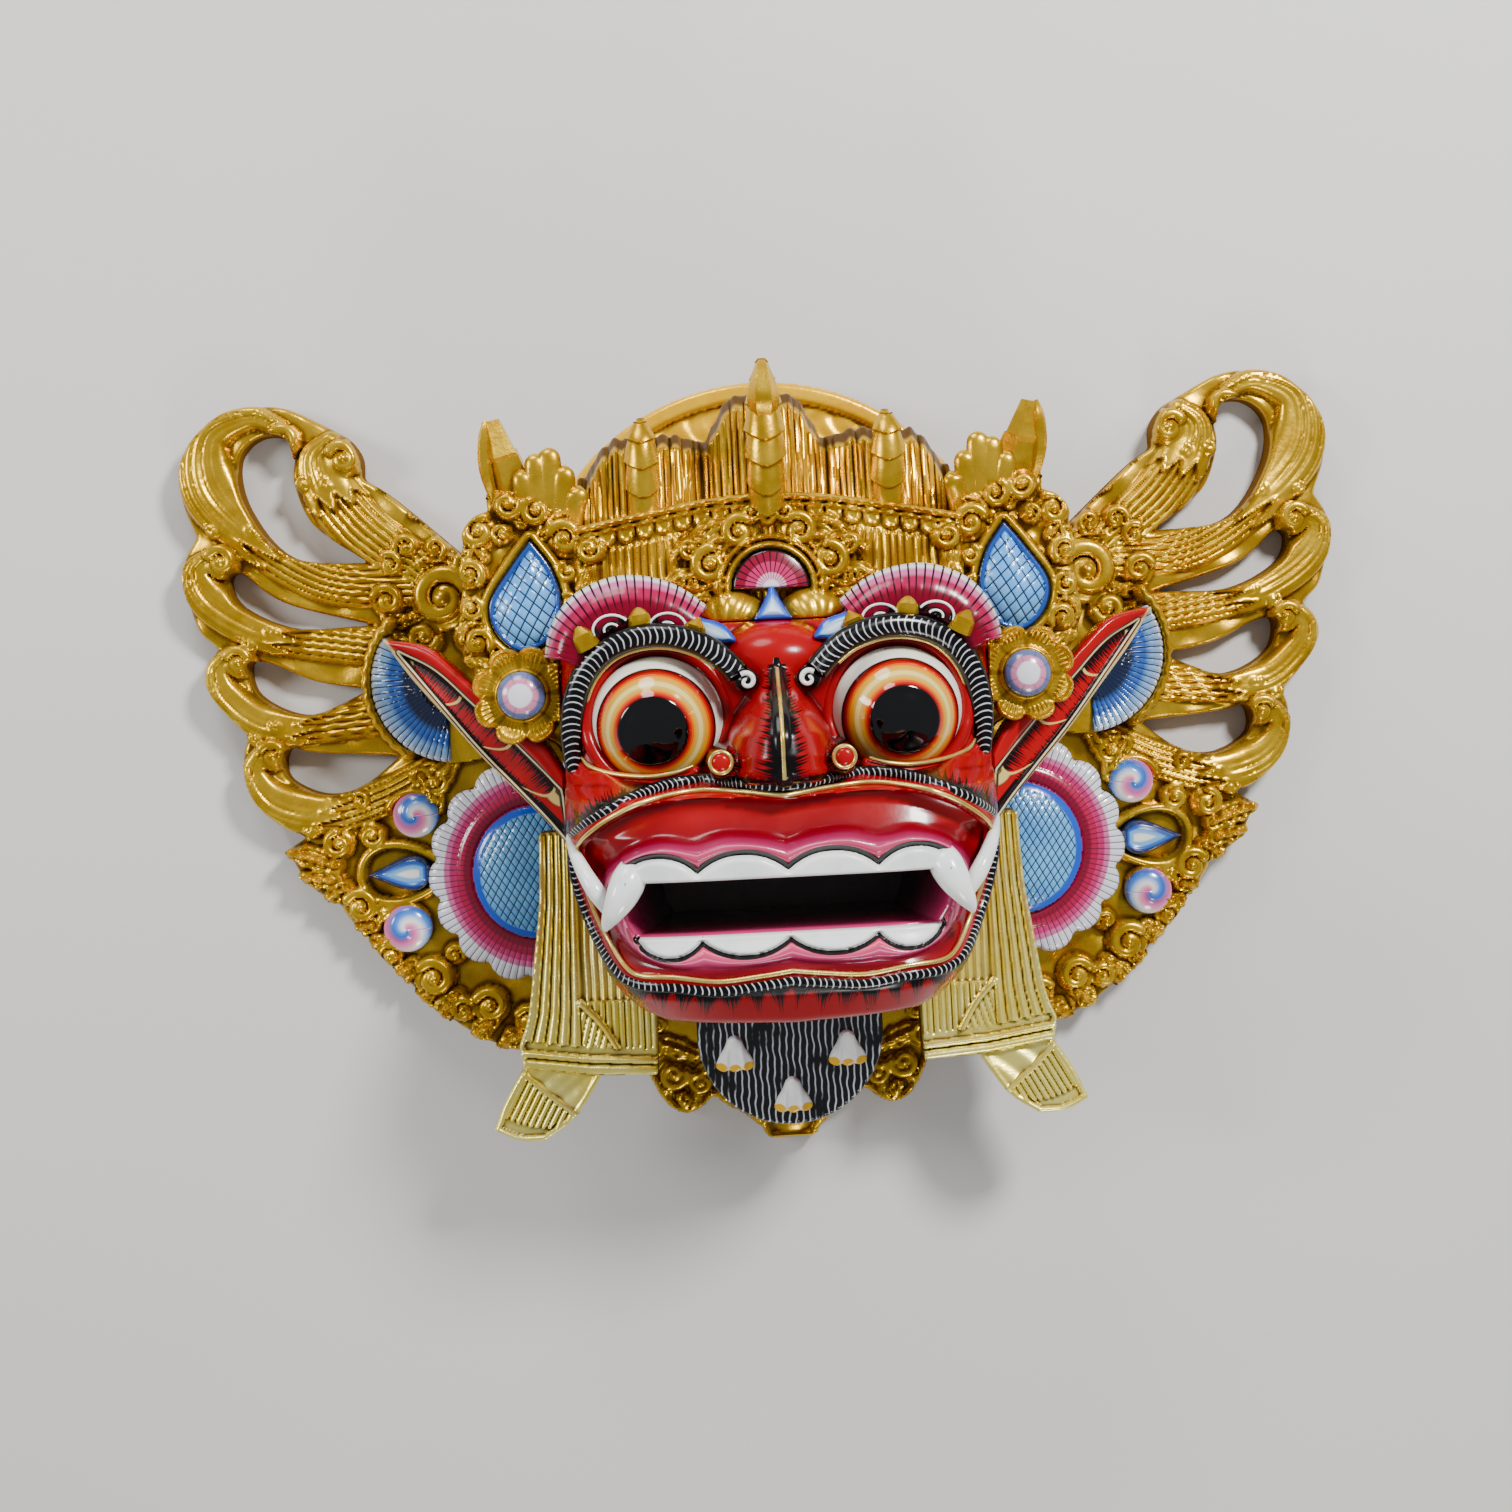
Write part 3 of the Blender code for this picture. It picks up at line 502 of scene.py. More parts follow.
def relief(name, grid, distance, bottom, look, side=1, edge=1.5, values=None, replaces=None, smooth=60):
    """Closed carved board: the net's squares inside the outline, its edge points moved on to it."""
    part = (slice(None, -1), slice(1, None))
    cell = sum(distance[part[r], part[c]] for r, c in CORNERS) < 0
    for _ in range(2):
        here, across, up, beside = cell[:-1, :-1], cell[1:, 1:], cell[1:, :-1], cell[:-1, 1:]
        crossing = (here == across) & (up == beside) & (here != up)
        for r, c in CORNERS:
            cell[part[r], part[c]] |= crossing
    around = np.zeros(grid.x.shape, int)
    for r, c in CORNERS:
        around[part[r], part[c]] += cell
    used = around > 0
    border = used & (around < 4)
    slope_y, slope_x = np.gradient(distance, grid.step)
    steep = np.maximum(slope_x**2 + slope_y**2, 0.25)
    pull = np.where(border, np.clip(distance, -grid.step, grid.step), 0) / steep
    x, y = grid.x - pull * slope_x, grid.y - pull * slope_y
    count = int(used.sum())
    number = np.full(grid.x.shape, -1)
    number[used] = np.arange(count)
    rows, columns = np.nonzero(cell)
    corner = [number[rows + r, columns + c] for r, c in CORNERS]
    padded = np.pad(cell, 1)
    rim = []
    for index, (r, c) in enumerate(((-1, 0), (0, 1), (1, 0), (0, -1))):
        open_edge = ~padded[rows + 1 + r, columns + 1 + c]
        rim.append((corner[index][open_edge], corner[(index + 1) % 4][open_edge]))
    start, end = (np.concatenate(ends) for ends in zip(*rim))
    for place in (x, y):
        smoothed = place[used]
        for _ in range(6):
            middle = (smoothed[start] + smoothed[end]) / 2
            for ends in (start, end):
                smoothed[ends] += (middle - smoothed[ends]) / 2
        place[used] = smoothed
    inside = np.where(border, 0, np.clip(-distance, 0, edge))
    lower = np.broadcast_to(np.asarray(bottom, float), grid.z.shape)
    top = np.maximum(grid.z - edge + np.sqrt(np.maximum(0, edge**2 - (edge - inside) ** 2)), lower + 0.3)
    faces = np.stack(corner, 1)
    bends = [np.gradient(np.gradient(lower, axis=axis), axis=axis)[used] for axis in (0, 1)]
    blocks, rest = [], np.ones(len(rows), bool)
    if np.abs(bends).max() < 1e-6:
        blocks, rest = plain_blocks(cell, number + count)
    walls = np.stack([end, start, start + count, end + count], 1)
    faces = np.concatenate([faces, walls, faces[rest][:, ::-1] + count])
    kept = np.zeros(2 * count, bool)
    for block in (faces, *blocks):
        kept[block] = True
    renumber = np.cumsum(kept) - 1
    faces = renumber[faces].tolist() + [renumber[block].tolist() for block in blocks]
    faces = [face[::side] for face in faces]
    points = [np.stack([side * x[used], y[used], height[used]], 1) for height in (top, lower)]
    points = np.concatenate(points)[kept]
    # Painted shade: the carving's recesses, half of it along the outline, and all of it down the side walls
    # and on the back.
    carried = {
        "recess_shade": np.where(border, 0.5, recesses(grid.z)), "inner": -np.where(border, 0, distance),
        **(values or {}),
    }
    stored = {key: np.tile(value[used], 2)[kept] for key, value in carried.items()}
    stored["under"] = (np.arange(2 * count) >= count)[kept]
    stored["recess_shade"] = np.maximum(stored["recess_shade"], stored["under"])
    return new_piece(name, points, faces, stored, look, smooth, replaces)


def plain_blocks(cell, number):
    """Large faces for the middle of a plain back, and which of its small faces are left."""
    size = 8
    high, wide = (length // size for length in cell.shape)
    whole = cell[:high * size, :wide * size].reshape(high, size, wide, size).all((1, 3))
    around = np.pad(whole, 1)
    blocks = []
    for row, column in zip(*np.nonzero(whole)):
        top, left = row * size, column * size
        sides = [
            (around[row, column + 1], [(top, left + step) for step in range(size)]),
            (around[row + 1, column + 2], [(top + step, left + size) for step in range(size)]),
            (around[row + 2, column + 1], [(top + size, left + size - step) for step in range(size)]),
            (around[row + 1, column], [(top + size - step, left) for step in range(size)]),
        ]
        loop = [number[place] for joined, places in sides for place in (places[:1] if joined else places)]
        blocks.append(np.array(loop[::-1]))
    covered = np.zeros(cell.shape, bool)
    covered[:high * size, :wide * size] = np.repeat(np.repeat(whole, size, 0), size, 1)
    return blocks, ~covered[cell]


def sheet_of(name, points, look, values, flip=False, smooth=80, thick=0.0, closed=True):
    """Surface from a net of points (rows by columns), closed around its rows; a thickness makes a shell."""
    points = np.asarray(points, float)
    rows, columns = points.shape[:2]
    number = np.arange(rows * columns).reshape(rows, columns)
    if closed:
        number = np.concatenate([number, number[:, :1]], 1)
    faces = np.stack([number[:-1, :-1], number[:-1, 1:], number[1:, 1:], number[1:, :-1]], -1).reshape(-1, 4)
    stored = {key: np.broadcast_to(value, (rows, columns)).ravel() for key, value in values.items()}
    faces = faces[:, ::-1 if flip else 1].tolist()
    obj = new_piece(name, points.reshape(-1, 3), faces, stored, look, smooth)
    if thick:
        shell = obj.modifiers.new("Shell", "SOLIDIFY")
        shell.thickness = thick * MM
        shell.offset = -1
    return obj


def unit_rows(rows):
    return rows / np.maximum(np.linalg.norm(rows, axis=1, keepdims=True), 1e-9)


def rod(name, line, look, sides=8, flat=1.0, smooth=80, recess_shade=0.15):
    """Closed bar along a 3-D line of (x, y, z, radius); flat squeezes it toward the face, and the last
    argument is the painted shade it gets.
    """
    line = np.asarray(line, float)
    middle, radii = line[:, None, :3], line[:, 3, None, None]
    ahead = unit_rows(np.gradient(line[:, :3], axis=0))
    across = unit_rows(np.cross((0, 0, 1), ahead))
    turn = np.arange(sides) * CIRCLE / sides
    up = flat * np.cross(ahead, across)
    off = np.cos(turn)[:, None] * across[:, None] + np.sin(turn)[:, None] * up[:, None]
    ends = [np.repeat(middle[place], sides, 0)[None] for place in (0, -1)]
    run = np.concatenate([[0], np.cumsum(np.linalg.norm(np.diff(line[:, :3], axis=0), axis=1))])
    run = np.pad(run, 1, mode="edge")[:, None]
    values = {"run": run, "across": np.cos(turn), "out": np.sin(turn), "recess_shade": recess_shade}
    obj = sheet_of(name, np.concatenate([ends[0], middle + radii * off, ends[1]]), look, values, True, smooth)
    made = bmesh.new()
    made.from_mesh(obj.data)
    bmesh.ops.remove_doubles(made, verts=made.verts, dist=1e-6)
    bmesh.ops.recalc_face_normals(made, faces=made.faces)
    made.to_mesh(obj.data)
    made.free()
    return obj


def bent_rod(name, points, side, look, sides=8, flat=1.0, smooth=80, steps=5, recess_shade=0.15):
    """Bar along the smooth line through some points of the right half, or its mirror image."""
    return rod(name, curve_through(points, steps) * (side, 1, 1, 1), look, sides, flat, smooth, recess_shade)


def turned(name, rows, look, count=28):
    """Round piece about an upright axis: rows of (x, y, z, radius)."""
    angle = np.arange(count) * CIRCLE / count
    rings = [arc((x, y), angle, radius, z) for x, y, z, radius in rows]
    radii = np.array(rows, float)[:, 3:]
    return sheet_of(name, rings, look, {"run": radii, "across": 0, "out": -1, "recess_shade": 0}, True)


# Wings
BOARD = 14.0
GAP = 0.3
WING_START = 84.3
HALF_SPAN = 245.0
WING_PLAN = [
    (WING_START, 100, True), (104, 98, True), (123, 90, True), (156, 120), (169, 129, True), (169, 138),
    (174, 146), (182, 151, True), (198, 159), (212, 160.5), (226, 157), (240, 144), (HALF_SPAN, 128),
    (239, 107, True), (244.5, 98), (HALF_SPAN, 86), (241, 69), (233, 60, True), (238, 50), (236, 40),
    (222, 23, True), (225, 12), (222, -3), (214, -13), (201, -22, True), (209, -27, True),
    (200, -43), (187, -52, True), (180, -62), (164, -82, True), (154, -94), (140, -106, True),
    (127, -114), (114, -118, True), (98, -118, True), (WING_START, -108, True),
]
WING_HOLES = [
    [(210, 148), (197, 145), (197, 128), (190, 110), (167, 93, True), (200, 97), (217, 118), (220, 138)],
    [(227, 88), (221, 91), (204, 78), (167, 67, True), (200, 67), (222, 77)],
    [(220, 53), (210, 52), (192, 44), (170, 40, True), (196, 30), (217, 39)],
    [(206, 16), (194, 14), (159, 11, True), (176, -1), (192, -4), (207, 4)],
]
# Feathers: spine of (x, y, half width) from the root to the hook, then the seam's share and the grooves
FEATHERS = [
    ([(146, 4, 8), (166, -6, 8.5), (190, -12, 9.5), (211, -7, 9), (220, 6, 6), (215, 17, 4)], 0.45, 6),
    ([(152, 30, 8.5), (180, 27, 8.5), (212, 26, 8.5), (229, 38, 8), (233, 50, 5.5), (227, 57, 4)], 0.42, 6),
    ([(156, 56, 9), (182, 60, 9), (212, 66, 9), (233, 79, 9), (239, 92, 6.5), (231, 99, 4)], 0.42, 6),
    ([(150, 84, 11), (184, 87, 11), (212, 105, 12), (231, 126, 13), (231, 148, 9), (214, 156, 5.5),
      (202, 152, 4)], 0.40, 8),
    ([(146, 88, 11), (169, 106, 12.5), (181, 122, 12), (186, 136, 9), (181, 143, 6)], 0.62, 8),
]
# Scrolls: place, radius, hand and the angle at which they start; the hooks end in the first ones
HOOKS = [
    (211, 14, 7, 1, 0.6), (223, 54, 7, 1, 0.6), (228, 96, 7.5, 1, 0.6), (199, 145.5, 7, 1, 0.6),
    (175, 137, 8, 1, 0.6),
]
SCROLLS = [
    (137, 77, 14, -1, 2.6), (160, 77, 7.5, 1, 0.4), (146, 61, 8, 1, 3.4), (158, 92, 6, 1, 1.0),
    (124, 90, 8, -1, 0.5), (151, 99, 6, 1, 0.0), (126, 60, 8, 1, 2.2), (160, 62, 5, -1, 1.2),
    (139, 98, 5.5, -1, 4.0), (121, 74, 6, 1, 5.0), (144, -1, 6, 1, 2.0), (178, -52, 8.5, 1, 0.6),
    (149, -84, 9.5, 1, 0.8), (126, -97, 8.5, 1, 0.6), (186, -25, 7, -1, 1.4), (168, -73, 6.5, -1, 2.4),
    (138, -98, 6, -1, 2.4), (110, -104, 7, 1, 0.6), (172, -22, 6, 1, 2.8), (140, -74, 5, -1, 3.4),
    (169, -54, 5, -1, 4.4), (176, -7, 4.5, 1, 1.0),
]
# Leaves of the lower lobe and the root: lines of (x, y, half width), then the height and the lobes
LEAVES = [
    ([(188, -34, 4), (198, -30, 6.5), (208, -28, 2)], 7, 3),
    ([(190, -40, 5), (197, -39, 5), (203, -38, 2)], 7, 2),
    ([(184, -44, 4), (190, -47, 5), (193, -50, 2)], 7, 2),
    ([(174, -60, 4), (180, -61, 5), (184, -62, 2)], 7, 2),
    ([(166, -66, 4), (174, -69, 5.5), (178, -70, 2)], 7, 2),
    ([(158, -78, 4), (163, -81, 6), (168, -80, 2)], 7, 2),
    ([(152, -90, 4), (155, -93, 6), (158, -95, 2)], 7, 2),
    ([(140, -92, 4), (146, -98, 6), (146, -104, 2)], 7, 2),
    ([(126, -104, 4), (131, -108, 6), (135, -111, 2)], 7, 2),
    ([(112, -110, 4), (118, -112, 6), (123, -115, 2)], 7, 2),
    ([(98, -100, 4), (104, -108, 6), (108, -116, 3)], 7, 2),
    ([(150, 2, 5), (146, -8, 7), (150, -18, 3)], 7, 3), ([(136, 10, 4), (142, 2, 6), (148, -4, 2)], 7, 2),
    ([(118, 98, 4), (134, 108, 5), (148, 113, 2)], 4, 3),
    ([(110, 92, 4), (118, 94, 5), (130, 100, 2)], 6, 2), ([(126, 84, 3), (134, 92, 4), (146, 92, 2)], 6, 2),
    ([(148, 70, 3), (156, 68, 4), (162, 70, 2)], 6, 2), ([(150, 30, 3), (146, 20, 4), (140, 14, 2)], 4, 2),
]
ROOT_LEAF = ([(124, 60, 4), (120, 66, 6), (112, 80, 6), (106, 92, 2)], 5, 4)
ROSETTE = (102.0, -40.0)
ROSETTE_RADIUS = 47.0
ROSETTE_START = 84.5
ROSETTE_LOBES = 16
ROSETTE_HEART = 27.5
ROSETTE_RAYS = 96
SWIRLS = [(153, -14, 9.5, 1, 2.4), (159, -62, 10, 1, 4.2)]
DROP = (161, -38.5, 13, 7.5)
FAN_CENTRE = (133, 42)
FAN_RADIUS = 35.5


def carve_feather(grid, spine, seam, grooves):
    """Fluted band that hooks over: grooves from the root to a seam, a smoother sheath beyond it."""
    line = curve_through(spine, 8)
    view = grid.window(line, line[:, 2].max() + 1)
    found = follow(grid.x[view], grid.y[view], line)
    across = np.clip(found.side / np.maximum(found.half, 1e-3), -1.2, 1.2)
    share = found.run / found.length
    body = 9 + 7.5 * np.sqrt(unit(1 - np.abs(across) ** 3))
    edge = seam + 0.05 * np.sin(3.3 * math.pi * across) - 0.05 * across
    inner = body - 1.9 * (1 - flutes(grooves * (across + 1) / 2, 0.8)) - 0.6 * share
    hug = unit((0.35 - across) / 0.3) * unit((share - seam - 0.08) / 0.1)
    few = flutes(3 * (across + 1.05), 0.6)
    outer = body + 0.9 - 1.1 * (1 - few) * hug + 0.8 * bell((across + 0.86) / 0.14)
    outer -= 1.3 * bell((across - 0.25) / 0.45) * unit((share - seam) / 0.2)
    outer += 0.9 * bell((share - edge - 0.012) / 0.012)
    grid.raise_to(view, np.abs(across), np.where(share > edge, outer, inner))
    for lean, shift in ((-0.75, 0.02), (0.1, -0.035)):
        at = int((seam + shift) * (len(line) - 1))
        ahead = line[at + 1, :2] - line[at, :2]
        ahead /= np.hypot(*ahead)
        spot = line[at, :2] + lean * line[at, 2] * np.array([-ahead[1], ahead[0]])
        grid.volute(*spot, 3.6, -1, math.atan2(*ahead[::-1]), 15.5, 1.1, 1.8, 0.3)


def wing(word, side, gold):
    grid = Grid((83.5, -119), (246, 162), 0.76, 10.0)
    distance = np.maximum.reduce([
        plan_of(grid, WING_PLAN, *WING_HOLES), WING_START - grid.x, grid.x - HALF_SPAN - 0.2,
    ])
    grid.z += 1.2 * np.sin(grid.x * 0.21 + 0.6) * np.sin(grid.y * 0.23) + 0.6
    for feather in FEATHERS:
        carve_feather(grid, *feather)
    grid.volutes(HOOKS, 15, 1.2, 4.5, 0, 0.3)
    grid.leaves(LEAVES, 12.5)
    grid.volutes(SCROLLS, 13.5, 1.35, 3, 0.32, 0.275)
    grid.leaves([ROOT_LEAF], 14)
    for x, y, radius, _, _ in SWIRLS:
        grid.ridge(spiral(x, y, radius + 2.4, 1, 0.3, 0.95, 2.0), 14, 4)
    x, y, wide, tall = DROP
    angle = np.linspace(0, CIRCLE, 48)
    up = (tall + 4.5) * np.sin(angle) * (1 + 0.25 * np.cos(angle))
    grid.ridge(np.stack([x - 1 + (wide + 4.5) * np.cos(angle), y + up, np.full(48, 2.2)], 1), 14, 4)
    turn = np.linspace(-0.95, 0.78, 40)
    grid.ridge(arc(FAN_CENTRE, turn, FAN_RADIUS + 0.6 + 0.5 * np.cos(turn * 40), 2.4), 20, 9)
    grid.ridge([(86, 92, 2.2), (160, 125.3, 2.2)], 12, 4)
    grid.z[fan_distance(grid) < 0.5] = 22.0
    relief(f"wing_{word}_carving", grid, distance, 0.0, gold, side, 1.8, None, f"wing_{word}")


def fan_distance(grid):
    """The crescent between the ear and the wing."""
    reach = grid.polar(FAN_CENTRE)[0] - FAN_RADIUS
    lower = (9.5 - grid.y) * 0.8 + (grid.x - 150) * 0.1
    upper = (grid.y - 58 - 0.72 * (grid.x - 156)) * 0.8
    return np.maximum.reduce([reach + 1.5, (-22 - reach) * 0.8, lower, upper])


def ear_fan(word, side, look):
    grid = Grid((136, 6), (171, 66), 0.7, 24.0)
    reach, turn = grid.polar(FAN_CENTRE)
    grid.z += 3.2 * ((reach - 20) / 14) ** 2 - 0.7 * nicks(turn * FAN_RADIUS / 3.1 - 0.5, 0.16)
    grid.z = np.minimum(grid.z, 28)
    values = {"turn": turn * FAN_RADIUS, "reach": reach}
    relief(f"ear_fan_{word}", grid, fan_distance(grid), 18.0, look, side, 0.8, values)


def rosette(word, side, look):
    room = ROSETTE_RADIUS + 2
    grid = Grid((ROSETTE_START, ROSETTE[1] - room), (ROSETTE[0] + room, ROSETTE[1] + room), 0.76)
    off_x, off_y = grid.x - ROSETTE[0], grid.y - ROSETTE[1]
    reach, turn = np.hypot(off_x, off_y / 1.03), np.arctan2(off_y, off_x)
    lobe = np.abs(np.cos(turn * ROSETTE_LOBES / 2 + 0.3))
    rays = turn * ROSETTE_RAYS / CIRCLE
    petal = 17.5 + 5.2 * dome((reach - 39) / 9.5) - unit((reach - 38) / 9) * 2.2 * (1 - lobe**0.5)
    petal -= 0.45 * nicks(rays, 0.2)
    ring = 21.5 + 1.8 * dome((reach - 31) / 3.8)
    cell_a, cell_b = (off_x + 0.55 * off_y) / 3.4, (off_x - 0.75 * off_y) / 3.4
    cut = 0.5 * np.maximum(nicks(cell_a, 0.13), nicks(cell_b, 0.13)) * (reach < 24.2)
    heart = 21 + 9.5 * dome(reach / 30) - cut
    grid.z = np.where(reach < ROSETTE_HEART, heart, np.where(reach < 34.8, ring, petal))
    distance = np.maximum(reach - ROSETTE_RADIUS + 4.8 * (1 - lobe**0.6), ROSETTE_START - grid.x)
    values = {"reach": reach, "turn": rays, "cell_a": cell_a, "cell_b": cell_b}
    relief(f"rosette_{word}", grid, distance, 11.0, look, side, 1.0, values)


def swirl(name, place, side, look):
    x, y, radius, hand, start = place
    grid = Grid((x - radius - 2, y - radius - 2), (x + radius + 2, y + radius + 2), 0.45, 15.0)
    reach, turn = grid.polar((x, y))
    phase = (turn / CIRCLE * hand - reach / radius * 0.85 + start / 6.28) % 1.0
    grid.z += 6.5 * dome(reach / (radius + 1)) + 0.9 * np.minimum(1, phase * 6) - 0.9 * phase
    values = {"turn": turn * hand, "reach": reach / radius}
    relief(name, grid, reach - radius, 12.0, look, side, 0.6, values)


def drop(name, side, look):
    x, y, wide, tall = DROP
    grid = Grid((x - wide - 2, y - tall - 2), (x + wide + 2, y + tall + 2), 0.45, 19.5)
    across, up = (grid.x - x) / wide, (grid.y - y) / tall
    half = dome(across) * (0.62 - 0.5 * across) / 0.78
    distance = np.maximum((np.abs(up) - half) * tall * 0.8, (np.abs(across) - 1) * wide)
    grid.z += 1.4 * bell(distance + 1.6) + 1.2 * unit(-distance / 4)
    relief(name, grid, distance, 12.0, look, side, 0.6)


def rosette_paint():
    made = Paint("rosette_paint", "blue_lacquer", 0.4)
    reach = made.attr("reach") + made.noise(120) * 0.8 - 0.4
    colour = made.bands(reach, 0, 50, [
        (24.2, (116, 192, 246)), (27.3, (18, 82, 200)), (31.5, (132, 2, 42)), (34.8, (172, 8, 66)),
        (37.4, (194, 44, 106)), (39.8, (208, 104, 152)), (50, (222, 222, 230)),
    ], 0.3)
    colour = made.mix(reach.below(24.0, 0.2), colour, made.mottled(colour, (76, 146, 214), 45, 2))
    net = made.lattice(0.16) * reach.below(24.2, 0.3)
    rays = (made.attr("turn") + 0.5).lines(1.0, 0.13) * reach.above(29.5, 0.5)
    return made.lacquer(made.mix(net.most(rays), colour, (14, 24, 44)))


def fan_paint():
    made = Paint("ear_fan_paint", "blue_lacquer", 0.4)
    # The dark navy inner band, under the ear, is painted shadow of the ear; the blues and greys further out
    # are the fan's own colours.
    stops = [(22, (14, 30, 62)), (28, (40, 90, 170)), (32, (120, 164, 210)), (36, (176, 186, 198))]
    colour = made.bands(made.attr("reach"), 12, 36, stops, 1.4)
    return made.lacquer(made.mix(made.attr("turn").lines(3.1, 0.17, 0.06), colour, (12, 14, 26)))


def swirl_paint():
    made = Paint("swirl_paint", "blue_lacquer", 0.6)
    phase = made.attr("turn") / CIRCLE - made.attr("reach") * 0.85 + 1.45
    return made.lacquer(made.ramp(phase.fraction(), [
        (0.0, BLUE), (0.16, (70, 130, 210)), (0.3, (180, 200, 235)), (0.42, IVORY), (0.58, PINK_PALE),
        (0.75, (206, 96, 150)), (0.9, (130, 110, 180)), (1.0, BLUE),
    ]))


def drop_paint():
    made = Paint("drop_paint", "blue_lacquer", 0.6)
    stops = [(1.6, BLUE_DARK), (2.8, BLUE), (4.4, BLUE_LIGHT), (8, IVORY)]
    return made.lacquer(made.bands(made.attr("inner"), 0, 8, stops, 0.4))


# Head
HEAD_HALF = 83.5
HAIR_TUFT = 8.6
LIP_LAP = 2.5
CAVITY_HALF = 69.5
HEAD_LOOP = closed_both([
    (0, 60.3), (23, 60.3), (29, 63.5), (38, 71.5), (49, 76), (61, 76.3), (73, 71), (80, 62),
    (HEAD_HALF, 51), (HEAD_HALF, -26), (78, -43), (68, -75), (58, -84), (48, -88), (0, -90.5),
])
# Front of the head: height along Y, half width, front and corner power
HEAD_SECTIONS = [
    (78, 84, 84, 6), (66, 86, 97, 7), (50, 87, 104, 8), (36, 87, 106, 8), (20, 87, 104, 8),
    (7, 87, 108, 8), (1, 86, 126, 6), (-4, 86, 150, 5), (-18, 86, 156, 5), (-34, 84, 153, 5),
    (-56, 79, 144, 5), (-68, 76, 149, 5), (-78, 70, 145, 5), (-92, 62, 132, 4),
]
CAVITY_SECTIONS = [
    (47, CAVITY_HALF, 84, 8), (5, CAVITY_HALF, 88, 8), (-6, CAVITY_HALF, 126, 6), (-30, 67, 134, 5),
    (-56, 60, 124, 5), (-75, 52, 118, 4),
]
MOUTH_TOP = -33.5
MOUTH_LOW = -55.0
MOUTH_MIDDLE = (MOUTH_TOP + MOUTH_LOW) / 2
MOUTH_HALF = 61.5
MOUTH_LOOP = closed_both([
    (0, MOUTH_TOP), (56, MOUTH_TOP), (MOUTH_HALF, MOUTH_TOP - 3), (MOUTH_HALF + 1, -42),
    (MOUTH_HALF - 1, -49), (MOUTH_HALF - 5, MOUTH_LOW), (40, MOUTH_LOW), (0, MOUTH_LOW),
])
EYE_AT = (46.0, 24.0, 94.0)
EYE_RADIUS = 27.0
# Rings of the eye: radius, and the centre's place; they lean toward the lower lid
EYE_RINGS = [(0, 47.6, 20.2), (13.5, 47.6, 20.2), (22.4, 46.8, 21.0), (25.4, 46.2, 23.2), (30, 46.0, 24.0)]
SOCKET = (46.3, 24.0)
LID_LINE = [
    (76, 11, 102, 0.5), (72.5, 7.5, 106, 0.8), (63, 4.6, 112, 0.9), (50, 3.4, 118.5, 0.9),
    (40, 4.6, 121, 0.8), (33, 7.0, 124, 0.5),
]
LID_FOLD = [
    (77.5, 9, 100, 1.5), (72.5, 4.5, 103, 3.6), (62, 0.8, 107.5, 4.8), (50, -0.4, 113.5, 4.9),
    (39, 1.2, 117, 4.0), (31, 5, 121, 1.8),
]
LIP_LINE = [(0, -4.1), (16, -2.3), (33, -1.4), (50, -3.8), (63, -9), (73, -15.8), (77.3, -20.6)]
CHIN_LINE = [
    (77.3, -20), (76.5, -28), (75, -36), (72, -46), (67.5, -56), (62, -64.5), (56, -68), (43, -68.8),
    (27, -71), (12, -69.8), (0, -68.3),
]
LIPS_LOOP = closed_both(np.concatenate([curve_through(LIP_LINE, 6)[:-1], curve_through(CHIN_LINE, 6)]))
MOUSTACHE = [(0, -0.8), (18, 0.9), (33, 1.5), (46, 0), (60, -4.6), (72, -11), (79.5, -16.2)]
CHIN_BAND = [
    (0, -72.2), (12, -73.6), (27, -74.8), (43, -72.6), (57, -71.6), (65, -67), (71.6, -57.5), (76.6, -46),
    (79.6, -34), (80.3, -24),
]
TEETH_UP = (0, 33, 61)
GUM_UP = [(0, -21.6), (9, -19.4), (22, -18.2), (34, -20.4), (46, -19.4), (57, -22.4), (66, -28.5), (71, -36)]
TEETH_LOW = (0, 32.5, 56)
GUM_LOW = [(0, -65.6), (14, -66.6), (30, -67.2), (44, -65.8), (56, -61.5), (64, -54), (69, -45)]
FANG = [
    (56, -25.5, 141, 3.5), (57.5, -31, 146, 6.2), (60.5, -37.5, 148.5, 5.9), (64, -43.5, 148, 4.2),
    (66.6, -48, 146, 2.4), (67.6, -50.6, 144.4, 0.8),
]
TUSK = [
    (66.5, -43, 139, 3.0), (70.6, -36.5, 140, 3.4), (74.6, -30, 136.5, 3.0), (78.2, -23.8, 129, 2.3),
    (81, -19, 119, 1.2), (81.8, -17.4, 114, 0.4),
]
BROW = [
    (79.3, 6, 100), (79.3, 17, 102), (78.6, 27, 104), (75.4, 38.4, 106), (69.6, 47.1, 108), (61.2, 53.3, 111),
    (50.3, 56.3, 113), (38.8, 55.9, 115), (27.6, 52, 117), (19.6, 46, 119), (14.6, 40.6, 121),
]
BROW_END = [(118, 0.5), (119.5, 4.6), (121.6, 4.0), (122.4, 0.5)]
BROW_POINTS = [(50.5, 60, 51.6, 68.5), (70.5, 53, 75, 62), (31, 56, 28.5, 62.5)]
BROW_CURLS = [(61.5, 60.6, -0.5), (40.5, 60.4, 0.25)]
FRILL_OUT = [(82.6, 49), (80.3, 60), (73.3, 69.6), (61.2, 75), (49.5, 74.8), (38.1, 70.6), (28.2, 62.5)]
FRILL_IN = [(77.5, 47), (73.5, 53), (66, 58.5), (57.5, 61.6), (48.5, 62.2), (40, 60.2), (31.5, 55.5)]
FRILL_PITCH = 2.65
NOSE_WIDTH = [
    (-2, 14), (1, 19), (5, 21.5), (10, 21.5), (18, 19.5), (25, 15.5), (31, 11), (36, 8.5), (50, 7.5),
]
NOSE_FRONT = [
    (-3, 143), (0, 152), (4, 156), (10, 156.8), (18, 154.8), (25, 150), (31, 140), (36, 127), (42, 118),
    (52, 108),
]
NOSE_TOP = 155.0
NOSTRIL = (22.6, 8.8)


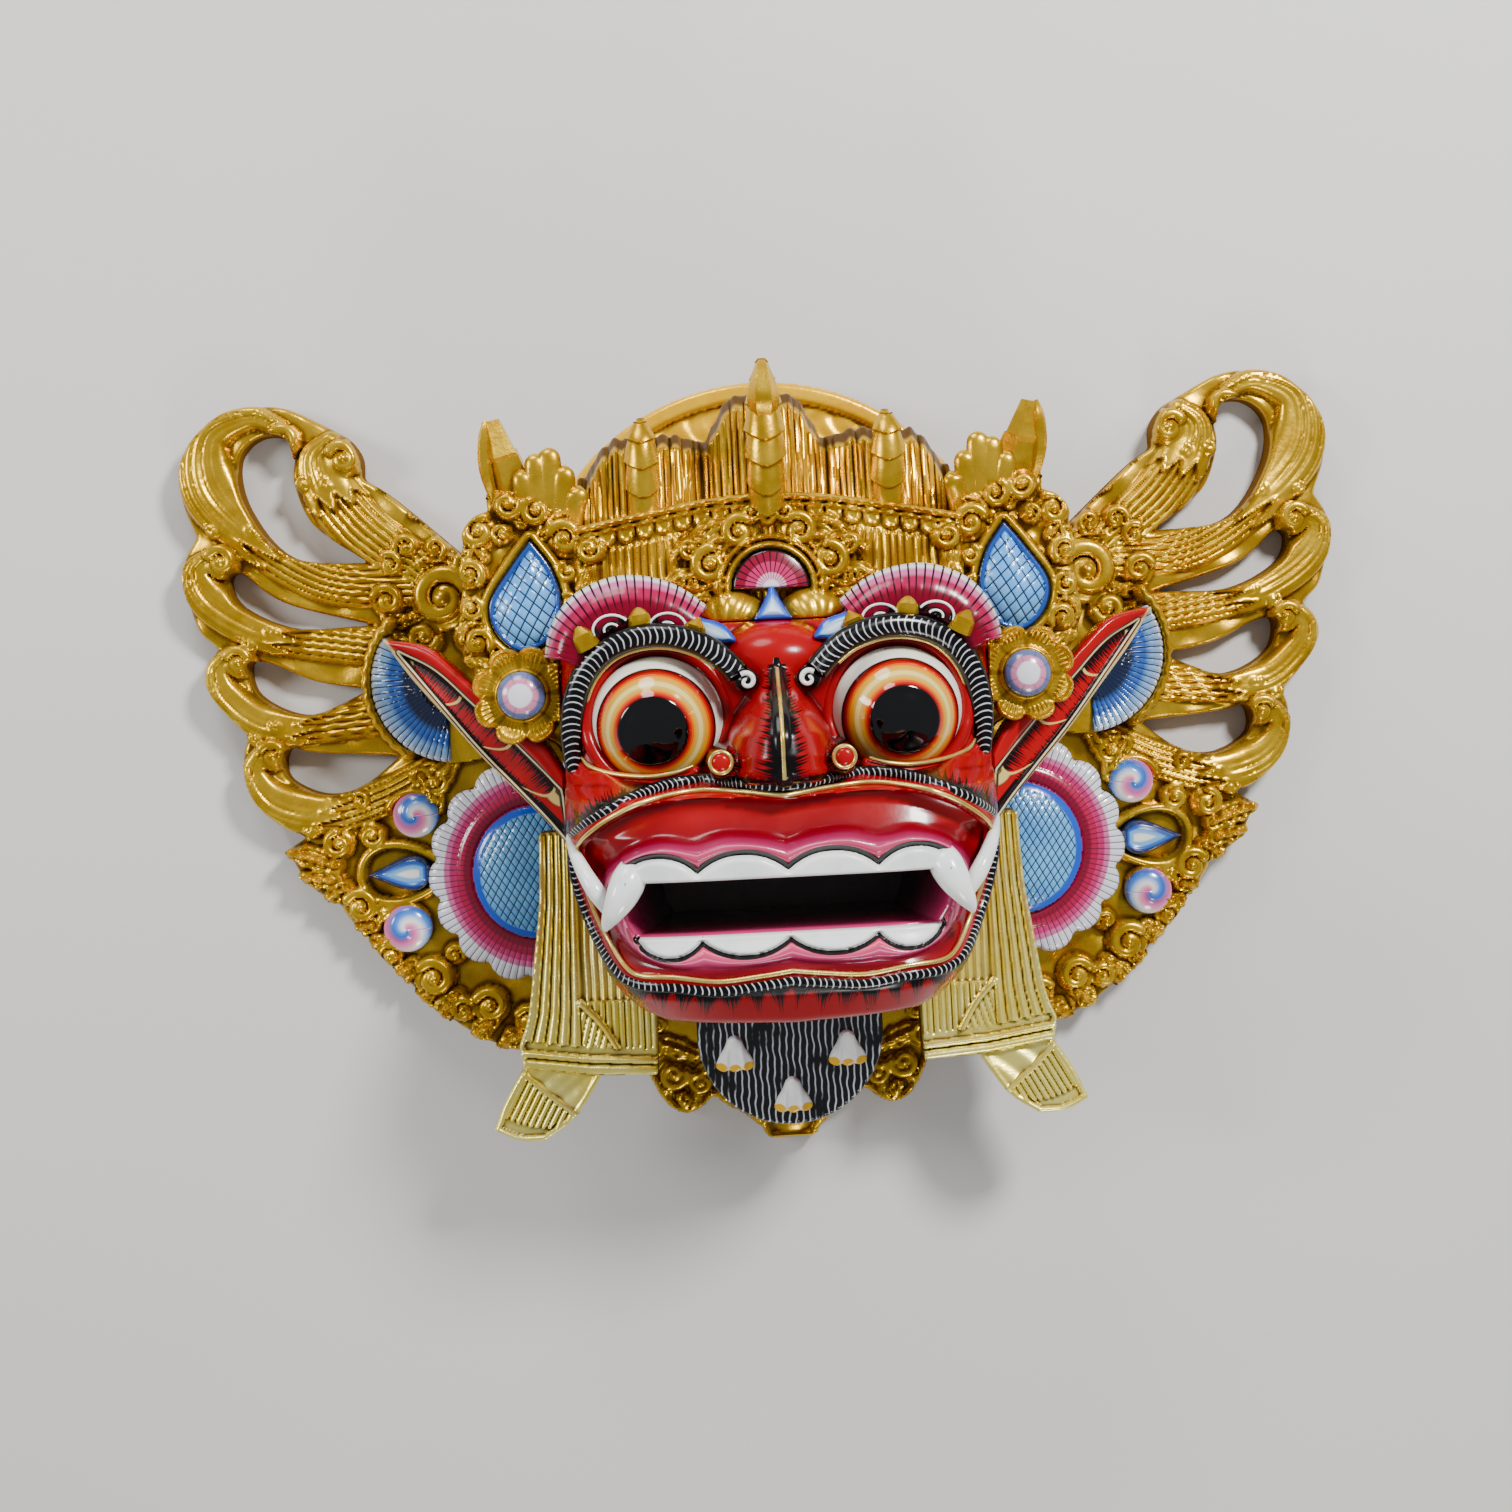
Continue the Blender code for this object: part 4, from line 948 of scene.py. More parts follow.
def skin(x, y, sections):
    """Front of a lofted form given by its sections."""
    half, front, power = (table(y, sections, column) for column in (1, 2, 3))
    fade = unit((sections[0][0] - y) / 0.5) * unit((y - sections[-1][0]) / 0.5)
    return front * unit(1 - np.abs(x / half) ** power) ** (1 / power) * fade


def soft_max(first, second, width):
    share = unit(0.5 + (first - second) / (2 * width))
    return second + (first - second) * share + width * share * (1 - share)


def face_front(x, y):
    """The bare face: brow region, nose, bump and muzzle, without paint or teeth."""
    z = np.where(y < 76, skin(x, np.clip(y, -91, 77), HEAD_SECTIONS), 84)
    share = unit(1 - np.abs(x / table(y, NOSE_WIDTH)) ** 2.5)
    foot = unit((y + 3.5) / 4) * unit((54 - y) / 6)
    nose = z + (table(y, NOSE_FRONT) - z) * share**0.56 * foot**0.5
    z = np.where((share > 0) & (foot > 0), soft_max(nose, z, 1.5), z)
    for centre_x, centre_y, wide, tall, front, high, soft in (
        (-21.8, 7.6, 6.6, 6.6, 136, 9.5, 1.2), (21.8, 7.6, 6.6, 6.6, 136, 9.5, 1.2),
        (0, 45, 23.5, 15.5, 99, 19, 1.5),
    ):
        reach = np.hypot((x - centre_x) / wide, (y - centre_y) / tall)
        z = soft_max(front + high * dome(reach) - 60 * (reach >= 1), z, soft)
    return z


def scallops(edges, cusp, tall, up):
    """Line of the gum along a row of teeth, from left to right."""
    half = []
    for near, far in zip(edges, edges[1:]):
        for share in np.arange(12) / 12:
            arch = (1 - abs(2 * share - 1) ** 2.3) * tall
            half.append((near + (far - near) * share, cusp + up * arch))
    return both_sides([*half, (edges[-1] + 1.0, cusp - up * 1.6)])


def head_shell(look):
    grid = Grid((-84.5, -92), (84.5, 78), 0.72)
    grid.z = blur(face_front(grid.x, grid.y), 2)
    lips = outline(grid.x, grid.y, LIPS_LOOP)
    grid.z -= 3.0 * unit(0.5 - lips / 2)
    grid.z -= 7 * unit((28.5 - np.hypot(np.abs(grid.x) - 46.3, grid.y - 24.3)) / 3)
    distance = np.maximum(outline(grid.x, grid.y, HEAD_LOOP), -lips - LIP_LAP)
    hollow = skin(grid.x, grid.y, CAVITY_SECTIONS)
    hollow = np.where((np.abs(grid.y + 14) < 61) & (hollow > 4), np.minimum(hollow, grid.z - 9), 0.0)
    relief("head_face", grid, distance, hollow, look, 1, 2.2, hair_roots(grid.x, grid.y), "head")


def hair_roots(x, y):
    """For the painted hair: place along its root line, and how far out of it as a share of its length."""
    reach = table(y, [(0, 8), (6, 9), (14, 8), (24, 6.5), (34, 4), (44, 2)])
    beside = np.where((y > 1) & (y < 44), np.maximum(np.abs(x) - 2.4, 0) / reach, 9.0)
    roots = [(y - 0.3 * np.abs(x) + 60 * (x > 0), beside)]
    for side in (-1, 1):
        off_x, off_y = x - side * NOSTRIL[0], y - NOSTRIL[1]
        roots.append((np.arctan2(off_y, off_x) * 7 + 100, np.maximum(np.hypot(off_x, off_y) - 4.0, 0) / 4.2))
    upper, lower = (follow(x, y, whole_curve(line)) for line in (MOUSTACHE, CHIN_BAND))
    length = 1.6 + 4.5 * unit((np.abs(x) - 40) / 35)
    roots.append((upper.run + 200, np.where(upper.side > 0, np.maximum(upper.off - 1.8, 0) / length, 9.0)))
    from_middle = lower.run / HAIR_TUFT % 1.0 - 0.5
    length = 2.8 + 10.5 * (1 - 2 * np.abs(from_middle)) ** 1.1
    reach = np.maximum(lower.off - 1.6, 0)
    fanned = lower.run + from_middle * HAIR_TUFT * 0.14 * reach
    roots.append((fanned + 500, np.where(lower.side < 0, reach / length, 9.0)))
    along, out = np.zeros(x.shape), np.full(x.shape, 9.0)
    for place, share in roots:
        along = np.where(share < out, place, along)
        out = np.minimum(share, out)
    return {"hair": along, "out": np.minimum(out, 3)}


def face_paint():
    """Red lacquer with black hair that starts on the painted bands and thins to points, and painted shade in
    the hollows round the features.
    """
    made = Paint("face_lacquer", "red_lacquer", 0.08, 0.22)
    along, out = made.attr("hair") + made.noise(140), made.attr("out")
    black = out.below(0.05, 0.04)
    for pitch, shift, length in ((1.15, 0.0, 1.0), (0.7, 0.37, 0.7), (2.3, 0.71, 1.1)):
        black = black.most(made.strokes(along, out, pitch, shift, length, 0.4, 0.46, 0.04))
    tone = made.mottled(RED, (146, 0, 10), 22)
    # Painted shade: the red turns very dark in the hollows round the nose, eyes and lips.
    tone = made.mix(made.attr("recess_shade").above(0.62, 0.3) * 0.8, tone, (70, 0, 4))
    return made.lacquer(made.mix(black * made.attr("under").below(0.05, 0.03), tone, (8, 5, 6)))


def mouth(look):
    grid = Grid((-79, -73), (79, 3), 0.6)
    x, y = grid.x, grid.y
    front = face_front(x, y)
    lips = outline(x, y, LIPS_LOOP)
    upper = y > MOUTH_MIDDLE
    up = follow(x, y, scallops(TEETH_UP, MOUTH_TOP + 2.4, 6.4, 1)).side
    low = -follow(x, y, scallops(TEETH_LOW, MOUTH_LOW - 1.4, 5.6, -1)).side
    gum = np.where(upper, up, low * 1.5)
    past = np.abs(x) - np.where(upper, TEETH_UP[-1], TEETH_LOW[-1])
    off_teeth = np.hypot(past, y - np.where(upper, MOUTH_TOP, MOUTH_LOW))
    gum = np.where(past > 0, np.maximum(off_teeth * 1.1, np.abs(gum) * 0.4 + 1.2), gum)
    outer_up, outer_low = (follow(x, y, whole_curve(line)).side for line in (GUM_UP, GUM_LOW))
    rest = np.where(upper, -outer_up, outer_low)
    near = np.maximum(gum, 0)
    band = near / np.maximum(near + np.maximum(rest, 0), 0.3)
    band = np.where(rest < 0, 1 + unit(-rest / 9), band)
    hollow_lip = unit((band - 0.75) / 0.5) * unit(-lips / 7)
    base = front - np.where(upper, 9.0, 2.5) * np.sqrt(hollow_lip) - np.where(upper, 2.2, 0.6)
    base += 2.4 * np.sin(math.pi * unit(band)) ** 0.7 + 0.35 * np.sin(band * 18) * (band < 1)
    base += 2.6 * dome(1 - unit(-gum / 2.2)) * (past <= 0) - 1.2 * bell((gum - 0.4) / 0.9)
    corner = unit((np.abs(x) - 56) / 16) * bell((y + 42) / 15)
    grid.z = np.minimum(blur(base, 2) - 5.0 * corner, 156.6)
    distance = np.maximum(lips, -outline(x, y, MOUTH_LOOP))
    values = {"gum": gum, "band": band, "lip": -lips}
    relief("lips_and_teeth", grid, distance, np.minimum(front, grid.z) - 8, look, 1, 0.9, values)


def mouth_paint():
    made = Paint("mouth_paint", "red_lacquer", 0.2, 0.35)
    gum = made.attr("gum")
    # Past the gums the red is darkest next to them and lighter further out: painted shade in the hollow of
    # the lips.
    colour = made.ramp((made.attr("band") + made.noise(90) * 0.05 - 0.025) * 0.5, [
        (0.0, (196, 30, 72)), (0.14, (204, 46, 86)), (0.16, (230, 122, 148)), (0.18, (200, 66, 104)),
        (0.28, (190, 62, 100)), (0.3, (222, 120, 152)), (0.325, (170, 52, 96)), (0.45, (148, 32, 76)),
        (0.5, (128, 4, 36)), (0.56, (116, 0, 20)), (0.75, (140, 0, 14)), (1.0, (158, 0, 12)),
    ])
    colour = made.mix(gum.below(2.2, 0.14), colour, (8, 6, 8))
    colour = made.mix(gum.below(0.0, 0.12), colour, made.mottled((250, 252, 246), (226, 236, 232), 70))
    return made.lacquer(made.mix(made.attr("lip").below(0.9, 0.5) * 0.6, colour, RED_DEEP))


def throat(look):
    """Inside of the mouth, from behind the teeth to the hollow."""
    corners = zip(MOUTH_LOOP, np.roll(MOUTH_LOOP, -1, 0))
    loop = np.concatenate([np.linspace(here, after, 6, endpoint=False) for here, after in corners])
    front = np.minimum(face_front(*loop.T) - 5, 148)
    share = np.linspace(0, 1, 12)[:, None]
    x = loop[:, 0] * (1.01 - 0.2 * share**0.7)
    y = MOUTH_MIDDLE + (loop[:, 1] - MOUTH_MIDDLE) * (1.06 + 0.1 * share)
    points = np.stack([x, y, front * (1 - share) + 60 * share], -1)
    sheet_of("mouth_inside", points, look, {"depth": share, "recess_shade": share}, False, 60, 1.2)


def throat_paint():
    made = Paint("mouth_inside_paint", "red_lacquer", 0.4)
    # Pink at the front, near black further in: painted shade deep in the mouth.
    depth = made.attr("depth") + made.noise(40, 3) * 0.3 - 0.15
    stops = [(0.0, (184, 50, 104)), (0.3, (150, 44, 84)), (0.6, (92, 26, 42)), (1.0, (20, 10, 14))]
    return made.lacquer(made.ramp(depth, stops))


def rod_on_face(name, half, look, radius, lift, flat, sides=10):
    """Bar that lies on the face along the smooth line of a half and its mirror image."""
    x, y = whole_curve(half, 8).T
    front = np.convolve(np.pad(face_front(x, y) + lift, 3, mode="edge"), np.ones(7) / 7, "valid")
    radii = radius * (1 - 0.3 * np.linspace(-1, 1, len(x)) ** 6)
    rod(name, np.stack([x, y, front, radii], 1), look, sides, flat, 60)


def eye(word, side, look):
    tilt = np.linspace(0, math.radians(84), 44)[:, None]
    turn = np.linspace(0, CIRCLE, 96, endpoint=False)
    x = EYE_AT[0] + EYE_RADIUS * np.sin(tilt) * np.cos(turn)
    y = EYE_AT[1] + EYE_RADIUS * np.sin(tilt) * np.sin(turn)
    ring = np.hypot(x - EYE_RINGS[0][1], y - EYE_RINGS[0][2])
    for _ in range(6):
        ring = np.hypot(x - table(ring, EYE_RINGS, 1), y - table(ring, EYE_RINGS, 2))
    z = EYE_AT[2] + EYE_RADIUS * np.cos(tilt) + 0.7 * bell((ring - 12.9) / 1.2) * (ring < 30)
    sheet_of(f"eye_{word}", np.stack([side * x, y, z], -1), look, {"ring": ring, "recess_shade": 0}, side < 0)


def eye_paint():
    made = Paint("eye_paint", "ivory_lacquer", 0.3, roughness=0.1)
    return made.finish(made.bands(made.attr("ring"), 0, 30, [
        (13.3, (3, 3, 5)), (13.8, (132, 0, 4)), (14.5, (186, 24, 4)), (15.2, (210, 88, 2)),
        (16.0, (222, 146, 6)), (16.9, (204, 168, 72)), (18.4, (232, 206, 116)), (19.1, (204, 164, 62)),
        (20.2, (222, 148, 8)), (20.9, (210, 92, 2)), (21.6, (178, 26, 4)), (22.3, (126, 4, 4)),
        (22.8, (16, 6, 8)), (25.3, (244, 240, 224)), (25.7, (40, 8, 10)), (30, (150, 0, 4)),
    ], 0.1))


def band_paint(name, pitch, share, slant):
    """Black band with a row of curved white strokes."""
    made = Paint(name, "black_lacquer", 0.1, 0.3)
    across = made.attr("across")
    bent = made.attr("run") + across * across * (slant * pitch) + across * (0.25 * pitch)
    bent = bent + made.noise(130) * 1.6
    inside = made.chance((bent / pitch).floor()) * 0.2 + 0.6 - abs(across)
    white = bent.lines(pitch, share, 0.07) * inside.above(0.0, 0.05) * made.attr("out").above(0.1, 0.1)
    return made.lacquer(made.mix(white, (4, 4, 6), (206, 212, 216)))


def brow(word, side, look, ivory, gold):
    flat = curve_through(BROW, 6)
    radii = 4.6 - 1.6 * unit(1 - np.linspace(0, 1, len(flat)) / 0.12)
    rod(f"brow_{word}", np.column_stack([flat * (side, 1, 1), radii]), look, 14, 0.75)
    turned(f"brow_end_{word}", [(side * 11.9, 38.2, z, radius) for z, radius in BROW_END], look)
    x, y, half = spiral(11.6, 37.6, 3.4, 1, 0.9, 1.1, 1.1, 24).T
    rod(f"brow_curl_{word}", np.stack([side * x, y, 122.3 + np.arange(24) / 60, half], 1), ivory, 8, 0.7)
    line = flat[:, :2] + unit_rows(np.array(SOCKET) - flat[:, :2]) * (radii[:, None] + 0.2)
    line = np.column_stack([line, flat[:, 2] - 0.6, np.full(len(flat), 0.75)]) * (side, 1, 1, 1)
    rod(f"brow_gold_line_{word}", line[2:-6], gold)


def socket(word, side, red, gold):
    """Red rim round the eye, the gold line along its lower lid and the fold under it."""
    angle = np.linspace(0, CIRCLE, 72)
    up = np.sin(angle)
    front = 102.5 + 3.5 * np.abs(up) * (up < -0.2)
    ring = np.stack([side * (SOCKET[0] + 27.2 * np.cos(angle)), 24.4 + 27.0 * up, front, np.full(72, 2.9)], 1)
    rod(f"eye_rim_{word}", ring, red, 10)
    bent_rod(f"eye_lid_line_{word}", LID_LINE, side, gold)
    bent_rod(f"eye_lower_lid_{word}", LID_FOLD, side, red, 12)


def frill(word, side, look):
    outer, inner = curve_through(FRILL_OUT, 10), curve_through(FRILL_IN, 10)
    run = np.concatenate([[0], np.cumsum(np.hypot(*np.diff((outer + inner) / 2, axis=0).T))])[:, None]
    share = np.linspace(0, 1, 12)
    x, y = (inner[:, [axis]] + (outer - inner)[:, [axis]] * share for axis in (0, 1))
    cut = 0.2 * nicks(run / FRILL_PITCH - 0.5, 0.2) * unit(share * 2)
    z = 104.5 - 4 * share + 3.4 * np.sin(math.pi * share) - cut
    values = {"run": run, "v": share, "recess_shade": 0}
    sheet_of(f"brow_frill_{word}", np.stack([side * x, y, z], -1), look, values, side > 0, 60, 6.0, False)


def frill_trim(word, side, gold, black, ivory):
    """Gold points and black curls between the brow and its frill."""
    for index, (x, y, tip_x, tip_y) in enumerate(BROW_POINTS):
        point = np.array([
            (x, y, 111, 4.8), ((x + tip_x) / 2, (y + tip_y) / 2, 113, 3.9), (tip_x, tip_y, 110.5, 0.5),
        ])
        rod(f"brow_point_{word}_{index}", point * (side, 1, 1, 1), gold, 8, 0.5, 30, [0.7, 0.1, 0.1, 0.1] * 2)
    for index, (x, y, turn) in enumerate(BROW_CURLS):
        angle = turn + math.pi * np.linspace(0.05, 0.95, 13)
        for ring, (reach, radius, height, look) in enumerate((
            (5.6, 2.3, 109.8, black), (5.7, 0.5, 112.0, ivory), (1.8, 2.1, 110.4, black),
            (2.3, 0.45, 112.5, ivory),
        )):
            arch = arc((x / 1.25, y - 1.5), angle, reach, height, radius) * (1.25 * side, 1, 1, 1)
            rod(f"brow_curl_{word}_{index}_{ring}", arch, look, smooth=60)


def frill_paint():
    made = Paint("frill_paint", "pink_lacquer", 0.1, 0.3)
    v = made.attr("v")
    colour = made.bands(v, 0, 1, [
        (0.24, (70, 0, 18)), (0.5, (112, 0, 30)), (0.7, (160, 18, 68)), (0.86, (198, 100, 146)),
        (1.0, (218, 214, 218)),
    ], 0.035)
    line = (made.noise(60, 1) * 0.5 + made.attr("run")).lines(FRILL_PITCH, 0.26) * v.above(0.38, 0.12)
    return made.lacquer(made.mix(line, colour, (6, 4, 10)))


def fangs(word, side, look, black):
    bent_rod(f"fang_{word}", FANG, side, look, 18, 0.9)
    bent_rod(f"tusk_{word}", TUSK, side, look, 14)
    for index, shift in enumerate((-2.4, 0.0, 2.2)):
        mark = [
            (side * (57.4 + shift * 0.8), -27 + 0.2 * shift, 149.2 - abs(shift) * 0.5, 0.2),
            (side * (58.2 + shift), -30, 151.4 - abs(shift) * 0.45, 0.35),
            (side * (59.2 + shift * 0.8), -33.5, 153.3 - abs(shift) * 0.4, 0.15),
        ]
        rod(f"fang_line_{word}_{index}", mark, black, 6)


def nose_marks(black, gold, red):
    along = np.arange(0, 47, 2.0)
    ridge = face_front(0 * along, along)
    middle = 0 * along
    radii = 3.4 - 2.0 * np.maximum(0, along - 34) / 12
    rod("nose_band", np.stack([middle, along, np.minimum(ridge - 0.4, NOSE_TOP), radii], 1), black, 12, 0.4)
    above = np.minimum(ridge + 1.4 * np.hypot(1, np.gradient(ridge, along)) - 0.1, NOSE_TOP + 1.45)
    rod("nose_line", np.stack([middle, along, above, middle + 0.8], 1)[1:-2], gold, 8, 0.7)
    for word, side in SIDES.items():
        centre = (side * NOSTRIL[0], NOSTRIL[1])
        rod(f"nostril_ring_{word}", arc(centre, np.linspace(0, CIRCLE, 40), 4, 145.3, 0.75), gold)
        dome_rows = [(143.6, 3.9), (145.6, 3.2), (146.1, 1.6), (146.2, 0.05)]
        turned(f"nostril_{word}", [(*centre, *row) for row in dome_rows], red)


# Ears
EAR_START = 83.85
EAR_ROOT_TOP = 86.0
EAR_SLOPE = -0.36
EAR_THICK = 13.0
EAR_PLAN = [
    (156, 60, True), (138, 56.5), (126, 47), (116, 37.5), (104, 27.5), (91, 16), (83.9, 4, True),
    (83.9, -25, True), (89, -18), (103, -3), (117, 11.5), (131, 28), (145, 44.5),
]
EAR_HOLLOW = [
    (149, 54.5, True), (134, 46), (121, 33.5), (109, 22), (97, 9.5), (86, -2, True), (84.5, -21, True),
    (92, -12), (104, 1), (117, 15), (131, 32),
]
EAR_UPPER = [(155, 59), (138, 54), (126, 44.5), (115, 34), (104, 24), (92, 12), (84, 0)]
EAR_LOWER = [(155, 59), (145, 44), (131, 28), (117, 11.5), (103, -3), (89, -18), (84, -24)]
EAR_RIM = [(0, 1.5), (12, 4.6), (60, 5.2), (110, 4.2)]


def ear(word, side, look):
    grid = Grid((83, -27), (158, 63), 0.6)
    slope = EAR_ROOT_TOP + EAR_SLOPE * (grid.x - HEAD_HALF)
    distance = np.maximum(plan_of(grid, EAR_PLAN), EAR_START - grid.x)
    hollow = plan_of(grid, EAR_HOLLOW)
    upper, lower = (follow(grid.x, grid.y, curve_through(line, 5)) for line in (EAR_UPPER, EAR_LOWER))
    dish = 1 - (1 - unit(-hollow / 7)) ** 2
    rim = 4.2 * dome(upper.off / table(upper.run, EAR_RIM))
    grid.z = slope + np.maximum(1.0 - 5.5 * dish, rim)
    values = {
        "hollow": -hollow, "run": upper.run, "top": upper.off, "low": lower.off,
        "vein": upper.run + 0.14 * (upper.off - 7) ** 2,
    }
    bottom = np.maximum(slope - EAR_THICK, 3)
    relief(f"ear_{word}_lacquer", grid, distance, bottom, look, side, 1.2, values, f"ear_{word}")


def ear_paint():
    """Red with black hair from the rim, gold veins and a pale gold edge."""
    made = Paint("ear_lacquer", "red_lacquer", 0.15, 0.25)
    hollow, run, top, low = (made.attr(key) for key in ("hollow", "run", "top", "low"))
    black = None
    for out, length in ((top - 5.6, 7.0), (low - 3.0, 2.6)):
        for pitch, shift in ((1.15, 0.0), (0.75, 0.43)):
            hairs = made.strokes(run, out, pitch, shift, length, 0.3, 0.42, 0.06)
            black = hairs if black is None else black.most(hairs)
    black = black * hollow.above(0.4, 0.25)
    colour = made.mix(black, made.mottled(RED, (176, 2, 12), 30), (12, 8, 10))
    colour = made.mix(hollow.above(-1.5, 0.3) * hollow.below(0.6, 0.3), colour, (14, 10, 12))
    colour = made.mix(hollow.above(-0.9, 0.2) * hollow.below(-0.2, 0.2), colour, (226, 214, 160))
    rim = hollow.below(-1.6, 0.3) * low.below(1.6, 0.4) * made.attr("under").below(0.1, 0.08)
    colour = made.mix(rim, colour, (206, 190, 128))
    vein = made.attr("vein").lines(27.0, 0.045, 0.01) * hollow.above(1.0, 0.4)
    return made.lacquer(made.mix(vein, colour, (214, 186, 110)))


# Crown, halo and forehead
CROWN_BASE = 20.3
PANEL_HALF = 76.3
PANEL_FRONT = 86.0
PANEL_FOOT = PANEL_FRONT - 1.0
PLATE_FRONT = 80.0
CROWN_STEP = 0.7
BAND = [(0, 109.7), (24.5, 107.6), (56, 102.1), (76, 98.2)]
FAN_AT = (0.0, 73.0)
FAN_HALF = 15.0
PANEL_LEAVES = [
    ([(3, 88, 3), (9, 90, 5.5), (20, 93, 6), (27, 88, 2.5)], 6, 3),
    ([(16, 99, 3), (24, 98, 4), (30, 94, 1.5)], 5, 2),
    ([(19, 86, 3), (27, 92, 4.5), (36, 88, 3), (38, 83, 1.2)], 5.5, 3),
    ([(22, 76, 3), (30, 74, 4.5), (38, 77, 1.5)], 5, 2), ([(14, 79, 3), (18, 88, 3.5), (12, 93, 1.5)], 5, 2),
    ([(28, 80, 3), (36, 79, 4), (43, 73, 1.5)], 4, 2), ([(25, 70, 2.5), (33, 68, 4), (41, 66, 1.5)], 5, 2),
    ([(70, 84, 3), (72, 74, 5), (66, 70, 2)], 4, 2),
]
PANEL_SCROLLS = [
    (0, 102, 5.5, 1, 1.5), (12, 95.5, 7.5, -1, 2.2), (23.3, 83, 8.5, -1, 1.6), (6.5, 103, 4.5, 1, 3.0),
    (31, 90, 5, 1, 4.0), (19, 74, 4.5, -1, 2.0), (31, 77, 3.6, 1, 0.0), (70, 91, 6, 1, 3.0),
]
PLATE_PLAN = [
    (74, 45, True), (84, 12, True), (104, 32, True), (119, 46, True), (123, 58), (121, 74), (120, 90, True),
    (117, 102), (109, 108), (110, 115, True), (100, 117.5), (88, 113), (74, 104, True),
]
LATTICE_LEAF = curve_through([
    (93, 96, True), (85, 84), (82, 70), (88, 56), (99, 52.5), (108, 60), (110, 72), (101, 86),
], 8, True)
PLATE_SCROLLS = [
    (113, 100, 8, -1, 2.0), (101, 110, 6.5, 1, 3.0), (90, 107, 6.5, -1, 1.0), (79.5, 96, 8, 1, 0.5),
    (117, 84, 6.5, -1, 4.0), (117, 70, 5.5, 1, 2.0), (115, 57, 6.5, -1, 3.6), (79, 83, 5, -1, 1.0),
    (104, 99, 4.5, 1, 5.0), (113, 112, 3.4, 1, 1.0), (107, 48, 5.5, 1, 1.0), (119.5, 92, 4, 1, 3.0),
    (84, 49, 6, -1, 2.4), (79, 71, 4.5, 1, 1.0), (78, 60, 5, -1, 2.0),
]
PLATE_LEAVES = [
    ([(112, 90, 3), (116, 96, 5), (112, 104, 2)], 5, 2), ([(88, 98, 3), (84, 104, 5), (78, 106, 2)], 5, 2),
    ([(112, 64, 3), (119, 64, 5), (121, 58, 2)], 4, 2), ([(96, 103, 3), (98, 110, 5), (96, 115, 2)], 4, 2),
    ([(84, 40, 3), (79, 46, 5), (76, 52, 2)], 5, 2), ([(108, 44, 3), (114, 48, 4), (120, 50, 2)], 4, 2),
]
FLOWER_AT = (98.5, 35.6)
FLOWER_BASE = 86.3
FLOWER_RADIUS = 19.5
PETALS = 8
HALO_CENTRE_Y = 61.0
HALO_RADIUS = 101.5
HALO_HALF = 84.0
HALO_RIM = 8.0
# Fronts of the fan-like curtains: middle, half width, front and how far they lean back
SWELLS = [(0.0, 24.0, 83.5, 0.24), (49.0, 26.0, 80.0, 0.26)]
CURTAIN_TOP = [
    (0, 146), (13, 145), (18, 138), (23, 128.5), (28, 129), (36, 131), (60, 130), (66, 125), (72, 113),
]
# Leaves over the crown: stations of (y, z, radius), or points of (x, y, z, radius) on the right side
CENTRE_LEAF = [
    (103, 88, 6.5), (112, 92, 7.5), (124, 95, 8), (136, 97, 7.2), (148, 97.5, 5.6), (157.5, 97, 2.4),
]
CENTRE_TIP = [(140, 99, 4.5), (147, 102.5, 6.2), (154, 101.5, 4.8), (159.8, 98.5, 2.6)]
SECOND_AT = 48
SECOND_LEAF = [(101, 80, 6), (112, 84, 6.8), (122, 87, 6.6), (131, 88.5, 5.6), (138.5, 88, 2.6)]
SECOND_BACK = [(126, 80, 3), (134, 82, 5.5), (141.5, 80, 1.6)]
OUTER_LEAF = [
    (98, 106, 68, 9), (99.5, 118, 75, 9.6), (102.5, 129, 80, 7.8), (103, 129.6, 81.5, 7.4),
    (105.6, 142.6, 84, 3.8),
]
OUTER_BLADE = [(106.5, 112, 78, 1.6), (108.8, 124, 83, 2.6), (108.4, 136, 86, 2.2), (107.6, 142.5, 85, 0.8)]
# Small leaves: where the foot stands, then the tip's place and the radius
SMALL_LEAVES = [
    (76, 73.5, 115, 4.4), (80, 78.5, 123, 4.6), (84.5, 84.0, 130, 4.8), (89, 89.5, 128, 4.4),
    (93, 95.0, 122, 4.0),
]
BLUE_LEAF = [(16, 53.5, 1.2), (20, 55.5, 3.6), (24.5, 57.6, 3.9), (28, 60.5, 2.2), (29.6, 63.5, 0.4)]


def clear_of_head(grid):
    """Positive where a piece would run into the head."""
    return GAP + 0.1 - outline(grid.x, grid.y, HEAD_LOOP)


